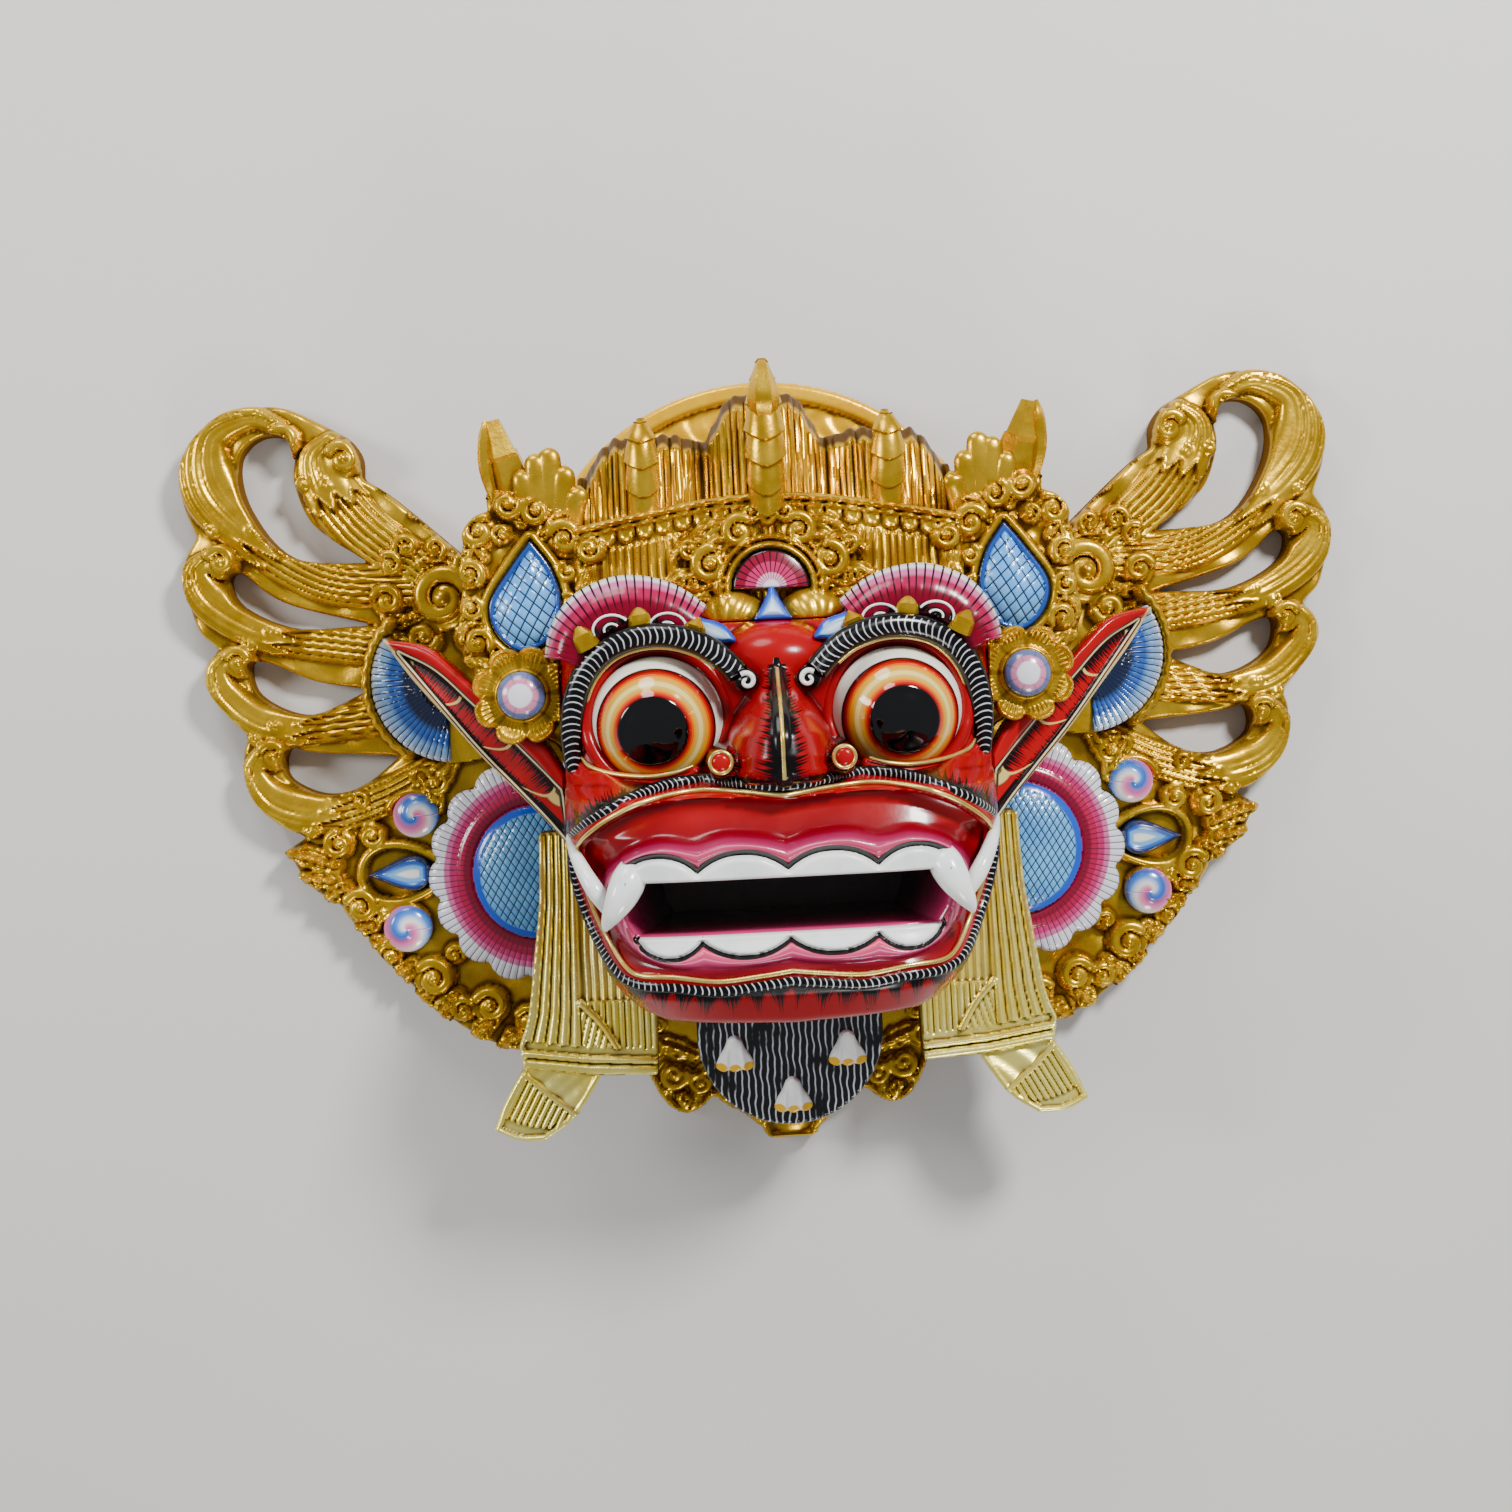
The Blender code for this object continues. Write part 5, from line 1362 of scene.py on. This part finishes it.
def forehead(gold):
    grid = Grid((-77, 38), (76.9, 112), CROWN_STEP, PANEL_FRONT - 2)
    x, y = np.abs(grid.x), grid.y
    below = table(x, BAND) - y
    reed = flutes(x / 3.15 + 0.1 * np.sin(y * 0.13 + x * 0.4), 1.6)
    grid.z += 1.7 * reed * unit((below - 9.2) / 1.5) + 0.7 * np.sin(x * 0.17 + 1)
    egg = np.hypot((x / 7.4 % 1.0 - 0.5) / 0.47, (below - 4.8) / 4.4)
    eggs = PANEL_FRONT - 1.6 + 1.4 * dome(egg) + 1.3 * bell((egg - 0.78) / 0.18)
    grid.z = np.where(egg < 1, eggs, grid.z)
    for at, half, high in ((0.0, 1.5, 4.6), (2.9, 1.0, 3.2)):
        grid.bar(below - at, half, PANEL_FRONT - 2, high)
    grid.leaves(PANEL_LEAVES, PANEL_FOOT)
    grid.volutes(PANEL_SCROLLS, PANEL_FOOT, 1.4, 4.5, 0.25, 0.27)
    for reach, half in ((FAN_HALF + 1.9, 2.0), (FAN_HALF + 5.2, 1.4)):
        grid.ridge(arc(FAN_AT, np.linspace(-0.2, math.pi / 2, 24), reach, half), PANEL_FOOT, 7.5)
    off_x, off_y = x - 15.5, y - 63
    lobe = np.hypot(off_x / 12.5, off_y / 10.5)
    flute = flutes(np.arctan2(off_y + 12, off_x - 4) * 9 / math.pi, 0.7)
    grid.raise_to(..., lobe, PANEL_FOOT + 9.5 * dome(lobe) + 0.8 * flute)
    grid.mirror()
    grid.z[(grid.polar(FAN_AT)[0] < FAN_HALF + 0.4) & (y > FAN_AT[1] - 0.6)] = PANEL_FOOT
    distance = np.maximum.reduce([-below - 1.7, x - PANEL_HALF, 40 - y, clear_of_head(grid)])
    relief("crown_forehead", grid, distance, CROWN_BASE, gold, 1, 1.2, None, "crown")


def crown_plate(word, side, gold):
    grid = Grid((73, 11), (125, 119), CROWN_STEP, PLATE_FRONT - 1)
    x, y = grid.x, grid.y
    plan = plan_of(grid, PLATE_PLAN) + 1.1 * np.abs(np.sin(x * 0.33 + y * 0.27)) - 1.0
    grid.z += 0.8 * np.sin(x * 0.5) * np.sin(y * 0.45)
    leaf = outline(x, y, LATTICE_LEAF)
    grid.volutes(PLATE_SCROLLS, PLATE_FRONT, 1.35, 4, 0.28, 0.275)
    grid.leaves(PLATE_LEAVES, PLATE_FRONT)
    grid.bar(leaf - 1.9, 2.0, PLATE_FRONT, 5)
    grid.z[leaf < 0.3] = PLATE_FRONT + 1
    under_flower = grid.polar(FLOWER_AT)[0] < FLOWER_RADIUS + 0.5
    grid.z = np.where(under_flower, np.minimum(grid.z, FLOWER_BASE - 1.5), grid.z)
    distance = np.maximum(plan, clear_of_head(grid))
    relief(f"crown_plate_{word}_carving", grid, distance, CROWN_BASE, gold, side, 1.2)


def lattice_leaf(word, side, look):
    grid = Grid((80, 50), (112, 98), 0.55)
    leaf = outline(grid.x, grid.y, LATTICE_LEAF)
    cell_a = (grid.x * 0.9 + grid.y * 0.5) / 4.1
    cell_b = (grid.x * 0.75 - grid.y * 0.8) / 4.1
    inside = np.maximum(-leaf - 2.2, 0)
    swell = 5 * (1 - np.exp(-inside / 6)) - 0.35 * np.maximum(nicks(cell_a, 0.1), nicks(cell_b, 0.1))
    grid.z = PLATE_FRONT + 4 + np.where(inside > 0, swell, 0.8)
    values = {"cell_a": cell_a, "cell_b": cell_b, "rim": -leaf, "low": (grid.y - 52) / 44}
    relief(f"lattice_leaf_{word}", grid, leaf, PLATE_FRONT - 2, look, side, 0.8, values)


def lattice_paint():
    made = Paint("lattice_paint", "blue_lacquer", 0.45)
    rim = made.attr("rim")
    colour = made.mottled((126, 192, 244), (92, 168, 234), 110)
    colour = made.mix(made.attr("low") * 0.6, colour, (48, 134, 226))
    colour = made.mix(made.lattice(0.15), colour, (8, 26, 50))
    colour = made.mix(rim.below(2.5, 0.5), colour, (22, 70, 150))
    return made.lacquer(made.mix(rim.below(0.8, 0.25), colour, (10, 24, 60)))


def curtains(gold):
    grid = Grid((-76.3, 92), (76.2, 156), 0.6)
    x, y = np.abs(grid.x), grid.y
    fronts = [
        high - 13.0 * np.clip((x - middle) / half, -1.05, 1.05) ** 2 - back * np.maximum(y - 104, 0)
        for middle, half, high, back in SWELLS
    ]
    reed = flutes(x / 2.5 + 0.12 * np.sin(x * 0.8 + 2) + 0.05 * np.sin(y * 0.17 + x * 0.8), 0.7)
    top = table(x, CURTAIN_TOP) + 1.1 * flutes(x / 6.2) + 0.5 * np.sin(x * 1.3) - 1.4
    bevel = 6.2 + 3 * unit((x - 66) / 8)
    over = unit((y - top) / bevel)
    carved = 1.9 * reed + 0.8 * flutes(x / 9.3 + 0.3, 0.5)
    grid.z = np.maximum(*fronts) + carved * (1 - 0.7 * over) - 5 * over
    distance = np.maximum.reduce([y - top - bevel, x - 75, 93 - y])
    # Painted shade in the reed valleys and over the bevel along the top.
    values = {"recess_shade": np.maximum(recesses(grid.z), np.minimum(1, over * 2.5))}
    relief("crown_curtains", grid, distance, 46.0, gold, 1, 0.6, values, smooth=45)


def scaled_leaf(name, x, stations, plates, gold, flat, slant=0.0, sides=14):
    """Tall leaf of plates stacked like scales: stations of (y, z, radius) along it."""
    line = curve_through([(x, *station) for station in stations], 14)
    rung = np.linspace(0, 1, len(line)) * plates
    saw = rung - np.floor(rung)
    line[:, 3] *= 1.06 - 0.2 * saw
    # Painted shade along the lower edge of each plate, where the next one laps over it.
    edge_shade = unit(0.15 + 0.9 * bell((saw - 0.97) / 0.09) * (plates > 1))
    obj = rod(name, line, gold, sides, flat, 35, np.pad(edge_shade, 1, mode="edge")[:, None])
    for vertex in obj.data.vertices:
        vertex.co.y -= abs(vertex.co.x - x * MM) * slant


def crown_leaves(gold):
    scaled_leaf("crown_leaf", 0, CENTRE_LEAF, 6, gold, 0.95, -0.5)
    scaled_leaf("crown_leaf_tip", 0, CENTRE_TIP, 1, gold, 0.9, 0.2, 6)
    # Painted shade on the two sides of each small leaf, where it meets the next.
    edge_shade = 0.15 + 0.85 * np.abs(np.cos(np.arange(12) * CIRCLE / 12)) ** 5
    for word, side in SIDES.items():
        scaled_leaf(f"crown_second_leaf_{word}", side * SECOND_AT, SECOND_LEAF, 4, gold, 0.95, -0.4)
        scaled_leaf(f"crown_second_leaf_back_{word}", side * SECOND_AT, SECOND_BACK, 1, gold, 0.7, sides=6)
        rod(f"crown_outer_leaf_{word}", np.array(OUTER_LEAF) * (side, 1, 1, 1), gold, 5, 0.8, 15)
        bent_rod(f"crown_outer_blade_{word}", OUTER_BLADE, side, gold, 6, 1.0, 20, 4)
        for index, (foot_x, tip_x, tip_y, radius) in enumerate(SMALL_LEAVES):
            finger = [
                (foot_x, 102, 79, radius * 0.8), ((foot_x + tip_x) / 2, (104 + tip_y) / 2, 82.5, radius),
                (tip_x, tip_y - 2, 84, radius * 0.9), (tip_x, tip_y + 1, 83, radius * 0.3),
            ]
            bent_rod(f"crown_small_leaf_{word}_{index}", finger, side, gold, 12, 0.5, 40, recess_shade=edge_shade)


def halo(gold):
    grid = Grid((-84.7, 44), (84.7, 163), 1.0)
    x, y = grid.x, grid.y
    reach = np.hypot(x, y - HALO_CENTRE_Y)
    mottled = np.sin(x * 0.41 + 2.1 * np.sin(y * 0.23)) * np.sin(y * 0.37 + 1.9 * np.sin(x * 0.21))
    rim = unit(1 - ((reach - (HALO_RADIUS - HALO_RIM / 2)) / (HALO_RIM / 2)) ** 6)
    grid.z = BOARD + np.maximum(0.6 + 0.6 * mottled, 4 * np.sqrt(rim))
    beside = np.abs(x) - HALO_HALF + 0.1
    distance = np.maximum.reduce([reach - HALO_RADIUS, beside, 45 - y, clear_of_head(grid)])
    relief("halo_board", grid, distance, 0.0, gold, 1, 1.5, None, "halo")


def fan_and_leaves(pink, blue):
    grid = Grid((-16, 72), (16, 90), 0.4)
    reach, turn = grid.polar(FAN_AT)
    grid.z += PANEL_FRONT + 4 + 4 * dome(reach / (FAN_HALF + 2))
    distance = np.maximum(reach - FAN_HALF, FAN_AT[1] + 0.2 - grid.y)
    values = {"reach": reach, "turn": turn * 4.8 + 0.46}
    relief("forehead_fan", grid, distance, PANEL_FRONT - 3, pink, 1, 0.6, values)
    grid = Grid((-9, 58.5), (9, 79), 0.4)
    share = unit((grid.y - 60.6) / 16.5)
    width = 5.6 * (1 - share) ** 1.6 + 2.2 * (1 - share)
    distance = np.maximum((np.abs(grid.x) - width) * 0.8, 60.7 - grid.y)
    grid.z = 99 - 7 * share + 2.6 * unit(-distance / 3)
    relief("forehead_point", grid, distance, PANEL_FRONT, blue, 1, 0.5)
    for word, side in SIDES.items():
        grid = Grid((14, 50), (32, 66), 0.4)
        found = follow(grid.x, grid.y, curve_through(BLUE_LEAF, 6))
        distance = found.off - found.half
        grid.z = 112 - 0.25 * (grid.x - 16) + 1.6 * unit(-distance / 2)
        relief(f"forehead_leaf_{word}", grid, distance, 100.0, blue, side, 0.4)


def fan_rays_paint():
    made = Paint("fan_rays", "pink_lacquer", 0.15)
    reach = made.attr("reach")
    colour = made.bands(reach, 0, 16, [
        (3.2, (226, 224, 224)), (6.0, (222, 160, 184)), (10.3, (190, 40, 96)), (14.0, (134, 2, 44)),
        (16, (20, 2, 8)),
    ], 0.25)
    line = (made.attr("turn") + 0.5).lines(1.0, 0.2) * reach.above(3.4, 0.4)
    return made.lacquer(made.mix(line, colour, (6, 2, 8)))


def flame_paint():
    """Blue rim around a pale heart."""
    made = Paint("blue_flame", "blue_lacquer", 0.45)
    return made.lacquer(made.bands(made.attr("inner"), 0, 5, [
        (0.9, (14, 58, 168)), (1.7, (30, 98, 204)), (2.2, (110, 166, 226)), (3.2, (176, 206, 238)),
        (5, (226, 234, 244)),
    ], 0.12))


def flower(word, side, gold, look):
    x, y = FLOWER_AT
    grid = Grid((x - 20, y - 20), (x + 20.5, y + 20.5), 0.45)
    reach, turn = grid.polar(FLOWER_AT)
    off_middle = 2 * np.abs((turn * PETALS / CIRCLE + 0.06) % 1.0 - 0.5)
    petal = 1 - off_middle**2.6
    crease = bell(reach * (1 - off_middle) * math.pi / PETALS / 0.8) * (reach > 9)
    inside = FLOWER_RADIUS - 3.4 * (1 - petal) - reach
    rays = flutes(turn * 26 / math.pi, 0.6)
    fluted = unit((reach - 10) / 2) * unit((inside - 1.8) / 1.5)
    lip = bell((inside - 1.2) / 0.8)
    dish = unit((reach - 9.5) / 9)
    bowl = 1.4 + 4.6 * dish**1.3 + 1.2 * petal * dish + 0.7 * rays * fluted + 1.5 * lip - 2.6 * crease
    grid.z = FLOWER_BASE + np.maximum(bowl, 4 + 3.2 * dome((reach - 9.7) / 1.2))
    # Painted shade in the creases and flutes, less of it on the lip.
    values = {"recess_shade": unit(0.25 + 0.7 * crease + 0.45 * (1 - rays) * fluted + 0.2 * fluted - 0.4 * lip)}
    distance = np.maximum(-inside, clear_of_head(grid))
    relief(f"flower_{word}_petals", grid, distance, FLOWER_BASE, gold, side, 0.9, values, f"flower_{word}")
    grid = Grid((x - 10, y - 10), (x + 10.5, y + 10.5), 0.4)
    reach, turn = grid.polar(FLOWER_AT)
    grid.z += FLOWER_BASE + 6.5 + 6.2 * dome(reach / 10)
    values = {"reach": reach, "turn": turn}
    relief(f"flower_{word}_heart", grid, reach - 9.2, FLOWER_BASE + 2, look, side, 0.5, values)


def heart_paint():
    made = Paint("flower_heart", "pink_lacquer", 0.45)
    reach = made.attr("reach")
    stops = [(4.6, (222, 220, 226)), (6.9, (204, 128, 158)), (9.3, (96, 110, 156)), (10, (60, 70, 110))]
    colour = made.bands(reach + made.noise(260, 3) * 0.9 - 0.45, 0, 10, stops, 0.25)
    spokes = made.attr("turn").lines(0.785, 0.12, 0.04) * reach.above(4.8, 0.3)
    return made.lacquer(made.mix(spokes * 0.3, colour, (60, 50, 80)))


# Ribbons, beard and chin
RIBBON_TOP_Z = 46.5
RIBBON_SLOPE = 0.15
RIBBON_THICK = 14.0
RIBBON_START = -22.0
RIBBON_INNER = 84.5
RIBBON_PLAN = [
    (70, RIBBON_START, True), (99, RIBBON_START, True), (100, -50), (102.5, -70), (106, -95),
    (110, -107, True), (108.5, -116, True), (82, -120.5), (54.5, -121.5, True), (53.5, -84, True),
]
# Outer edge of the band: x at each height below the middle
RIBBON_OUTER = [(22, 99), (50, 100), (70, 102.5), (95, 106), (107, 110), (116, 108.5)]
RIBBON_HEM = [(54, -114.5), (82, -112.5), (107, -109.0)]
RIBBON_FOLD = [(84.9, -91), (76.8, -99.5), (71, -109), (66, -118)]
TAIL_PLAN = [
    (106, -112, True), (116, -128), (122, -141, True), (112, -145.5), (101, -146, True), (88.5, -137),
    (76, -119, True),
]
TAIL_HEM = [(86, -135.5), (93, -140.5), (100, -141.4), (107, -140.7), (113, -138.5), (119, -135)]
TAIL_RIDGE = [(108.5, -119), (100.4, -126.5), (94.5, -131.3), (86, -138)]
BEARD_CENTRE = (0.0, -107.0)
BEARD_RADIUS = 38.0
BEARD_FRONT = 62.0
BEARD_THICK = 12.0
BEARD_PITCH = 2.7
BELLS = [(-23, -107), (23, -107), (0, -125)]
# Half width of a blossom at each height below its stalk
BELL_HALF = [(0, 1.0), (2, 2.9), (6, 4.2), (10, 6.4), (14, 7.9), (17, 8.0)]
ORNAMENT_THICK = 13.0
ORNAMENT_FOOT = ORNAMENT_THICK - 4
ORNAMENT_HALF = [
    (0, -162.4), (10, -162), (14, -156), (25, -148), (33, -142.5, True), (40, -148), (48, -149), (56, -141),
    (62, -128), (68, -112), (75, -84, True),
]
ORNAMENT_LEAVES = [
    ([(22, -134, 4), (32, -130, 6), (42, -134, 2)], 4, 3),
    ([(40, -124, 4), (50, -120, 6), (60, -116, 2)], 4, 3),
    ([(40, -138, 3), (41, -144, 4.5), (44, -148, 2)], 4, 2),
    ([(50, -136, 3), (54, -140, 4), (52, -146, 2)], 4, 2),
    ([(12, -146, 4), (22, -142, 5.5), (30, -140, 2)], 4, 3),
    ([(56, -110, 4), (64, -104, 5), (70, -94, 2)], 4, 2),
]
ORNAMENT_SCROLLS = [
    (50, -132, 7.5, 1, 3.0), (38, -136, 6, -1, 1.0), (59, -120, 6, 1, 2.0), (46, -144, 4, 1, 0.5),
    (26, -146, 5, -1, 2.0), (14, -153, 5, 1, 0.5), (33, -124, 6, 1, 4.0), (66, -108, 5, -1, 2.0),
]


def ribbon_slope(grid):
    return RIBBON_TOP_Z + RIBBON_SLOPE * (RIBBON_START - grid.y)


def ribbon(word, side, gold):
    grid = Grid((52, -123), (112, -21), 0.6)
    x, y = grid.x, grid.y
    outer = table(-y, RIBBON_OUTER)
    share = (x - RIBBON_INNER) / (outer - RIBBON_INNER)
    under = -1.5 - 0.6 * np.sin(x * 1.9 + 0.3 * np.sin(y * 0.2))
    grid.z = np.where(share > 0, 3.1 * flutes(5 * unit(share), 0.55) - 1.7, under)
    fold = follow(x, y, curve_through(RIBBON_FOLD, 6))
    right = (fold.side > 0) & (x < 84.9) & (y > -118)
    flap = (x < 85.2) & (y < -91) & ~right
    grid.z = np.where(flap, 1.9 * flutes((x - 54) / 2.6, 0.6) - 1.0 + 0.05 * (y + 91), grid.z)
    grid.z = np.where(right & (y < -88), -1.0 + 1.3 * flutes(x * 0.36 + y * 0.1), grid.z)
    grid.bar(fold.off, 1.3, 0, 2.6)
    below = table(x, RIBBON_HEM) - y
    grid.z[below > -2.4 - 1.4 * flutes((x - 54) / 5.6, 0.5)] = -0.5
    for off, half, high in ((below - 1.2, 1.5, 2.6), (below - 5.2, 1.9, 1.8), (outer - x - 0.9, 1.2, 1.7)):
        grid.bar(off, half, 0, high)
    slope = ribbon_slope(grid)
    grid.z += slope
    distance = np.maximum(plan_of(grid, RIBBON_PLAN), clear_of_head(grid))
    name = f"ribbon_{word}"
    relief(f"{name}_band", grid, distance, slope - RIBBON_THICK, gold, side, 1.0, None, name)
    grid = Grid((74, -147.5), (123.5, -111), 0.6)
    x, y = grid.x, grid.y
    ridge = follow(x, y, TAIL_RIDGE)
    rib = (x + 0.55 * y) / 2.9
    hem = table(x, TAIL_HEM) + 2.6 * (1 - flutes(rib, 0.7))
    pleats = np.where(y > hem, 2.2 * flutes(rib, 0.6) - 0.8, -0.6)
    grid.z = np.where(ridge.side > 0, pleats, 0.4 + 0.5 * np.sin(x * 0.4 + y * 0.5))
    grid.bar(ridge.off, 1.1, 0, 2.2)
    distance = plan_of(grid, TAIL_PLAN)
    grid.bar(np.where(y < -118, distance + 1.3, -NOWHERE), 1.2, 0, 1.4)
    slope = ribbon_slope(grid) - 3.6
    grid.z += slope
    relief(f"{name}_tail", grid, distance, slope - 8, gold, side, 0.9)


def beard(look, bell_look):
    grid = Grid((-39, -146), (39, -74), 0.7)
    x, y = grid.x, grid.y
    round_end = grid.polar(BEARD_CENTRE)[0] - BEARD_RADIUS
    distance = np.where(y > BEARD_CENTRE[1], np.abs(x) - BEARD_RADIUS, round_end)
    distance = np.maximum.reduce([distance, y + 76, clear_of_head(grid)])
    wave = x + 0.25 * np.sin(y * 0.42 + x * 0.25) + 0.15 * np.sin(y * 0.95 + x * 0.5)
    grid.z += BEARD_FRONT - 0.2 + 0.25 * np.sin(wave * CIRCLE / BEARD_PITCH)
    relief("beard_board", grid, distance, BEARD_FRONT - BEARD_THICK, look, 1, 1.2, {"wave": wave}, "beard")
    for index, (at_x, at_y) in enumerate(BELLS):
        grid = Grid((at_x - 9, at_y - 16.5), (at_x + 9, at_y + 1.5), 0.4)
        off, down = np.abs(grid.x - at_x), (at_y - grid.y) * 1.2
        half = table(down, BELL_HALF)
        lobes = 16.4 + 1.4 * np.abs(np.cos(math.pi * off / 5.4)) - 0.02 * off**2
        distance = np.maximum.reduce([(off - half) * 0.9, down - lobes, -down])
        swell = 4.6 * dome(off / (half + 0.6)) * unit(1.1 - down / 30)
        grid.z += BEARD_FRONT + swell + 0.9 * bell(off - 2.7 - down * 0.06) * unit(down / 9) - 0.4
        spots = np.minimum(np.hypot(off, down - 16.4), np.hypot(off - 5.8, down - 15.4))
        relief(f"beard_bell_{index}", grid, distance, BEARD_FRONT - 2, bell_look, 1, 0.5, {"spot": spots})


def beard_paint():
    made = Paint("beard_paint", "black_lacquer", 0.15)
    lines = (made.attr("wave") + made.noise(170, 3) * 0.7).lines(BEARD_PITCH, 0.2, 0.07)
    return made.lacquer(made.mix(lines * made.noise(90, 3).above(0.4, 0.08), BLACK, (206, 214, 222)))


def bell_paint():
    made = Paint("bell_paint", "ivory_lacquer", 0.4)
    white = made.mottled((255, 255, 252), (236, 240, 240), 150, 3, 0.55, 0.2)
    return made.lacquer(made.mix(made.attr("spot").below(2.6, 0.3), white, (236, 180, 10)))


def chin_ornament(gold):
    grid = Grid((-76.05, -162.7), (76.05, -83), 0.9, ORNAMENT_FOOT + 0.5)
    left = [(-point[0], *point[1:]) for point in reversed(ORNAMENT_HALF[1:])]
    distance = plan_of(grid, ORNAMENT_HALF + left)
    grid.leaves(ORNAMENT_LEAVES, ORNAMENT_FOOT)
    grid.volutes(ORNAMENT_SCROLLS, ORNAMENT_FOOT, 1.5, 4, 0, 0.26)
    grid.bud(0, -154, 9, ORNAMENT_FOOT, 3.6, 7)
    grid.mirror()
    grid.bar(distance + 1.5, 1.4, ORNAMENT_FOOT, 3.4)
    grid.z = np.minimum(grid.z, ORNAMENT_THICK + 1)
    distance = np.maximum(distance, clear_of_head(grid))
    relief("chin_carving", grid, distance, 0.0, gold, 1, 1.4, None, "chin_ornament")


# Light, floor and camera, in metres
LAMPS = [
    ("key", (0.6, 0.75, 1.0), 0.26, 25), ("fill", (-1.05, 0.3, 0.75), 0.4, 8.5),
    ("low", (0.25, -1.1, 0.75), 0.35, 6.5), ("crown", (-0.35, 1.15, 0.6), 0.5, 7),
]
LAMP_TARGET = (0, 0, 0.05)
FLOOR_HALF = 3.0


def add_object(name, data):
    obj = bpy.data.objects.new(name, data)
    bpy.context.scene.collection.objects.link(obj)
    return obj


def studio():
    world = bpy.data.worlds.new("studio")
    world.use_nodes = True
    background = world.node_tree.nodes["Background"]
    background.inputs["Color"].default_value = (0.78, 0.8, 0.84, 1)
    background.inputs["Strength"].default_value = 0.35
    bpy.context.scene.world = world
    for name, place, size, power in LAMPS:
        data = bpy.data.lights.new(name, "AREA")
        data.shape = "DISK"
        data.size = size
        data.energy = power
        lamp = add_object(name, data)
        lamp.location = place
        lamp.rotation_euler = (Vector(LAMP_TARGET) - lamp.location).to_track_quat("-Z", "Y").to_euler()
    mesh = bpy.data.meshes.new("floor")
    signs = ((-1, -1), (1, -1), (1, 1), (-1, 1))
    mesh.from_pydata([(across * FLOOR_HALF, up * FLOOR_HALF, 0) for across, up in signs], [], [(0, 1, 2, 3)])
    made = Paint("floor", None, roughness=0.7)
    mesh.materials.append(made.finish(made.mix(made.noise(3, 3), (202, 200, 196), (210, 208, 204))).material)
    add_object("floor", mesh)


def camera():
    data = bpy.data.cameras.new("camera")
    data.lens = CAMERA_LENS
    data.sensor_width = 36
    data.shift_x = CAMERA_SHIFT
    view = add_object("camera", data)
    view.location = CAMERA_AT
    view.rotation_euler = [math.radians(angle) for angle in CAMERA_TURN]
    bpy.context.scene.camera = view


studio()
camera()
GOLD = gold_paint("gold_leaf")
# Gilding of the curtains with darker painted shade in the reed valleys.
CURTAIN_GOLD = gold_paint("gold_curtain", recess_shade=(84, 48, 2), shade_strength=0.95)
# Paler, brighter gilding for the ribbons: painted light, a lit copy of the gold for ribbons that catch the
# light.
PALE_GOLD = gold_paint("pale_gold", (255, 246, 150), (250, 230, 104), (112, 78, 12), 0.7, 0.95)
HALO_GOLD = gold_paint("halo_gold", (255, 200, 26), (244, 180, 12), metal=0.5)
ROSETTE_LOOK, FAN_LOOK, SWIRL_LOOK, DROP_LOOK = rosette_paint(), fan_paint(), swirl_paint(), drop_paint()
for WORD, SIDE in SIDES.items():
    wing(WORD, SIDE, GOLD)
    ear_fan(WORD, SIDE, FAN_LOOK)
    rosette(WORD, SIDE, ROSETTE_LOOK)
    for NUMBER, PLACE in enumerate(SWIRLS):
        swirl(f"swirl_{WORD}_{NUMBER}", PLACE, SIDE, SWIRL_LOOK)
    drop(f"drop_{WORD}", SIDE, DROP_LOOK)

FACE_LOOK = face_paint()
RED_LOOK = plain_paint("red_lacquer", "red_lacquer", RED, (144, 0, 10), 0.12, 0.25)
IVORY_LOOK = plain_paint("ivory_lacquer", "ivory_lacquer", (248, 250, 242), (224, 232, 230))
BLACK_LOOK = plain_paint("black_lacquer", "black_lacquer", BLACK, (14, 14, 18), 0.05, 0.25)
LINE_GOLD = gold_paint("gold_line", GOLD_PALE, (222, 186, 96), (160, 120, 54))
BROW_LOOK = band_paint("brow_paint", 2.7, 0.16, 0.9)
MOUSTACHE_LOOK = band_paint("moustache_paint", 2.4, 0.17, 0.5)
EAR_LOOK, EYE_LOOK, FRILL_LOOK = ear_paint(), eye_paint(), frill_paint()
head_shell(FACE_LOOK)
mouth(mouth_paint())
throat(throat_paint())
rod_on_face("moustache_band", MOUSTACHE, MOUSTACHE_LOOK, 2.4, -0.3, 0.7)
rod_on_face("chin_band", CHIN_BAND, MOUSTACHE_LOOK, 2.5, -0.5, 0.7)
rod_on_face("lip_line", LIP_LINE, LINE_GOLD, 0.9, 0.3, 0.9, 8)
rod_on_face("chin_line", CHIN_LINE[::-1], LINE_GOLD, 0.9, 0.3, 0.9, 8)
nose_marks(BLACK_LOOK, LINE_GOLD, RED_LOOK)
for WORD, SIDE in SIDES.items():
    eye(WORD, SIDE, EYE_LOOK)
    brow(WORD, SIDE, BROW_LOOK, IVORY_LOOK, LINE_GOLD)
    socket(WORD, SIDE, RED_LOOK, LINE_GOLD)
    frill(WORD, SIDE, FRILL_LOOK)
    frill_trim(WORD, SIDE, GOLD, BLACK_LOOK, IVORY_LOOK)
    fangs(WORD, SIDE, IVORY_LOOK, BLACK_LOOK)
    ear(WORD, SIDE, EAR_LOOK)
forehead(GOLD)
curtains(CURTAIN_GOLD)
crown_leaves(GOLD)
halo(HALO_GOLD)
fan_and_leaves(fan_rays_paint(), flame_paint())
LATTICE_LOOK, HEART_LOOK = lattice_paint(), heart_paint()
for WORD, SIDE in SIDES.items():
    crown_plate(WORD, SIDE, GOLD)
    lattice_leaf(WORD, SIDE, LATTICE_LOOK)
    flower(WORD, SIDE, GOLD, HEART_LOOK)
    ribbon(WORD, SIDE, PALE_GOLD)
beard(beard_paint(), bell_paint())
chin_ornament(GOLD)
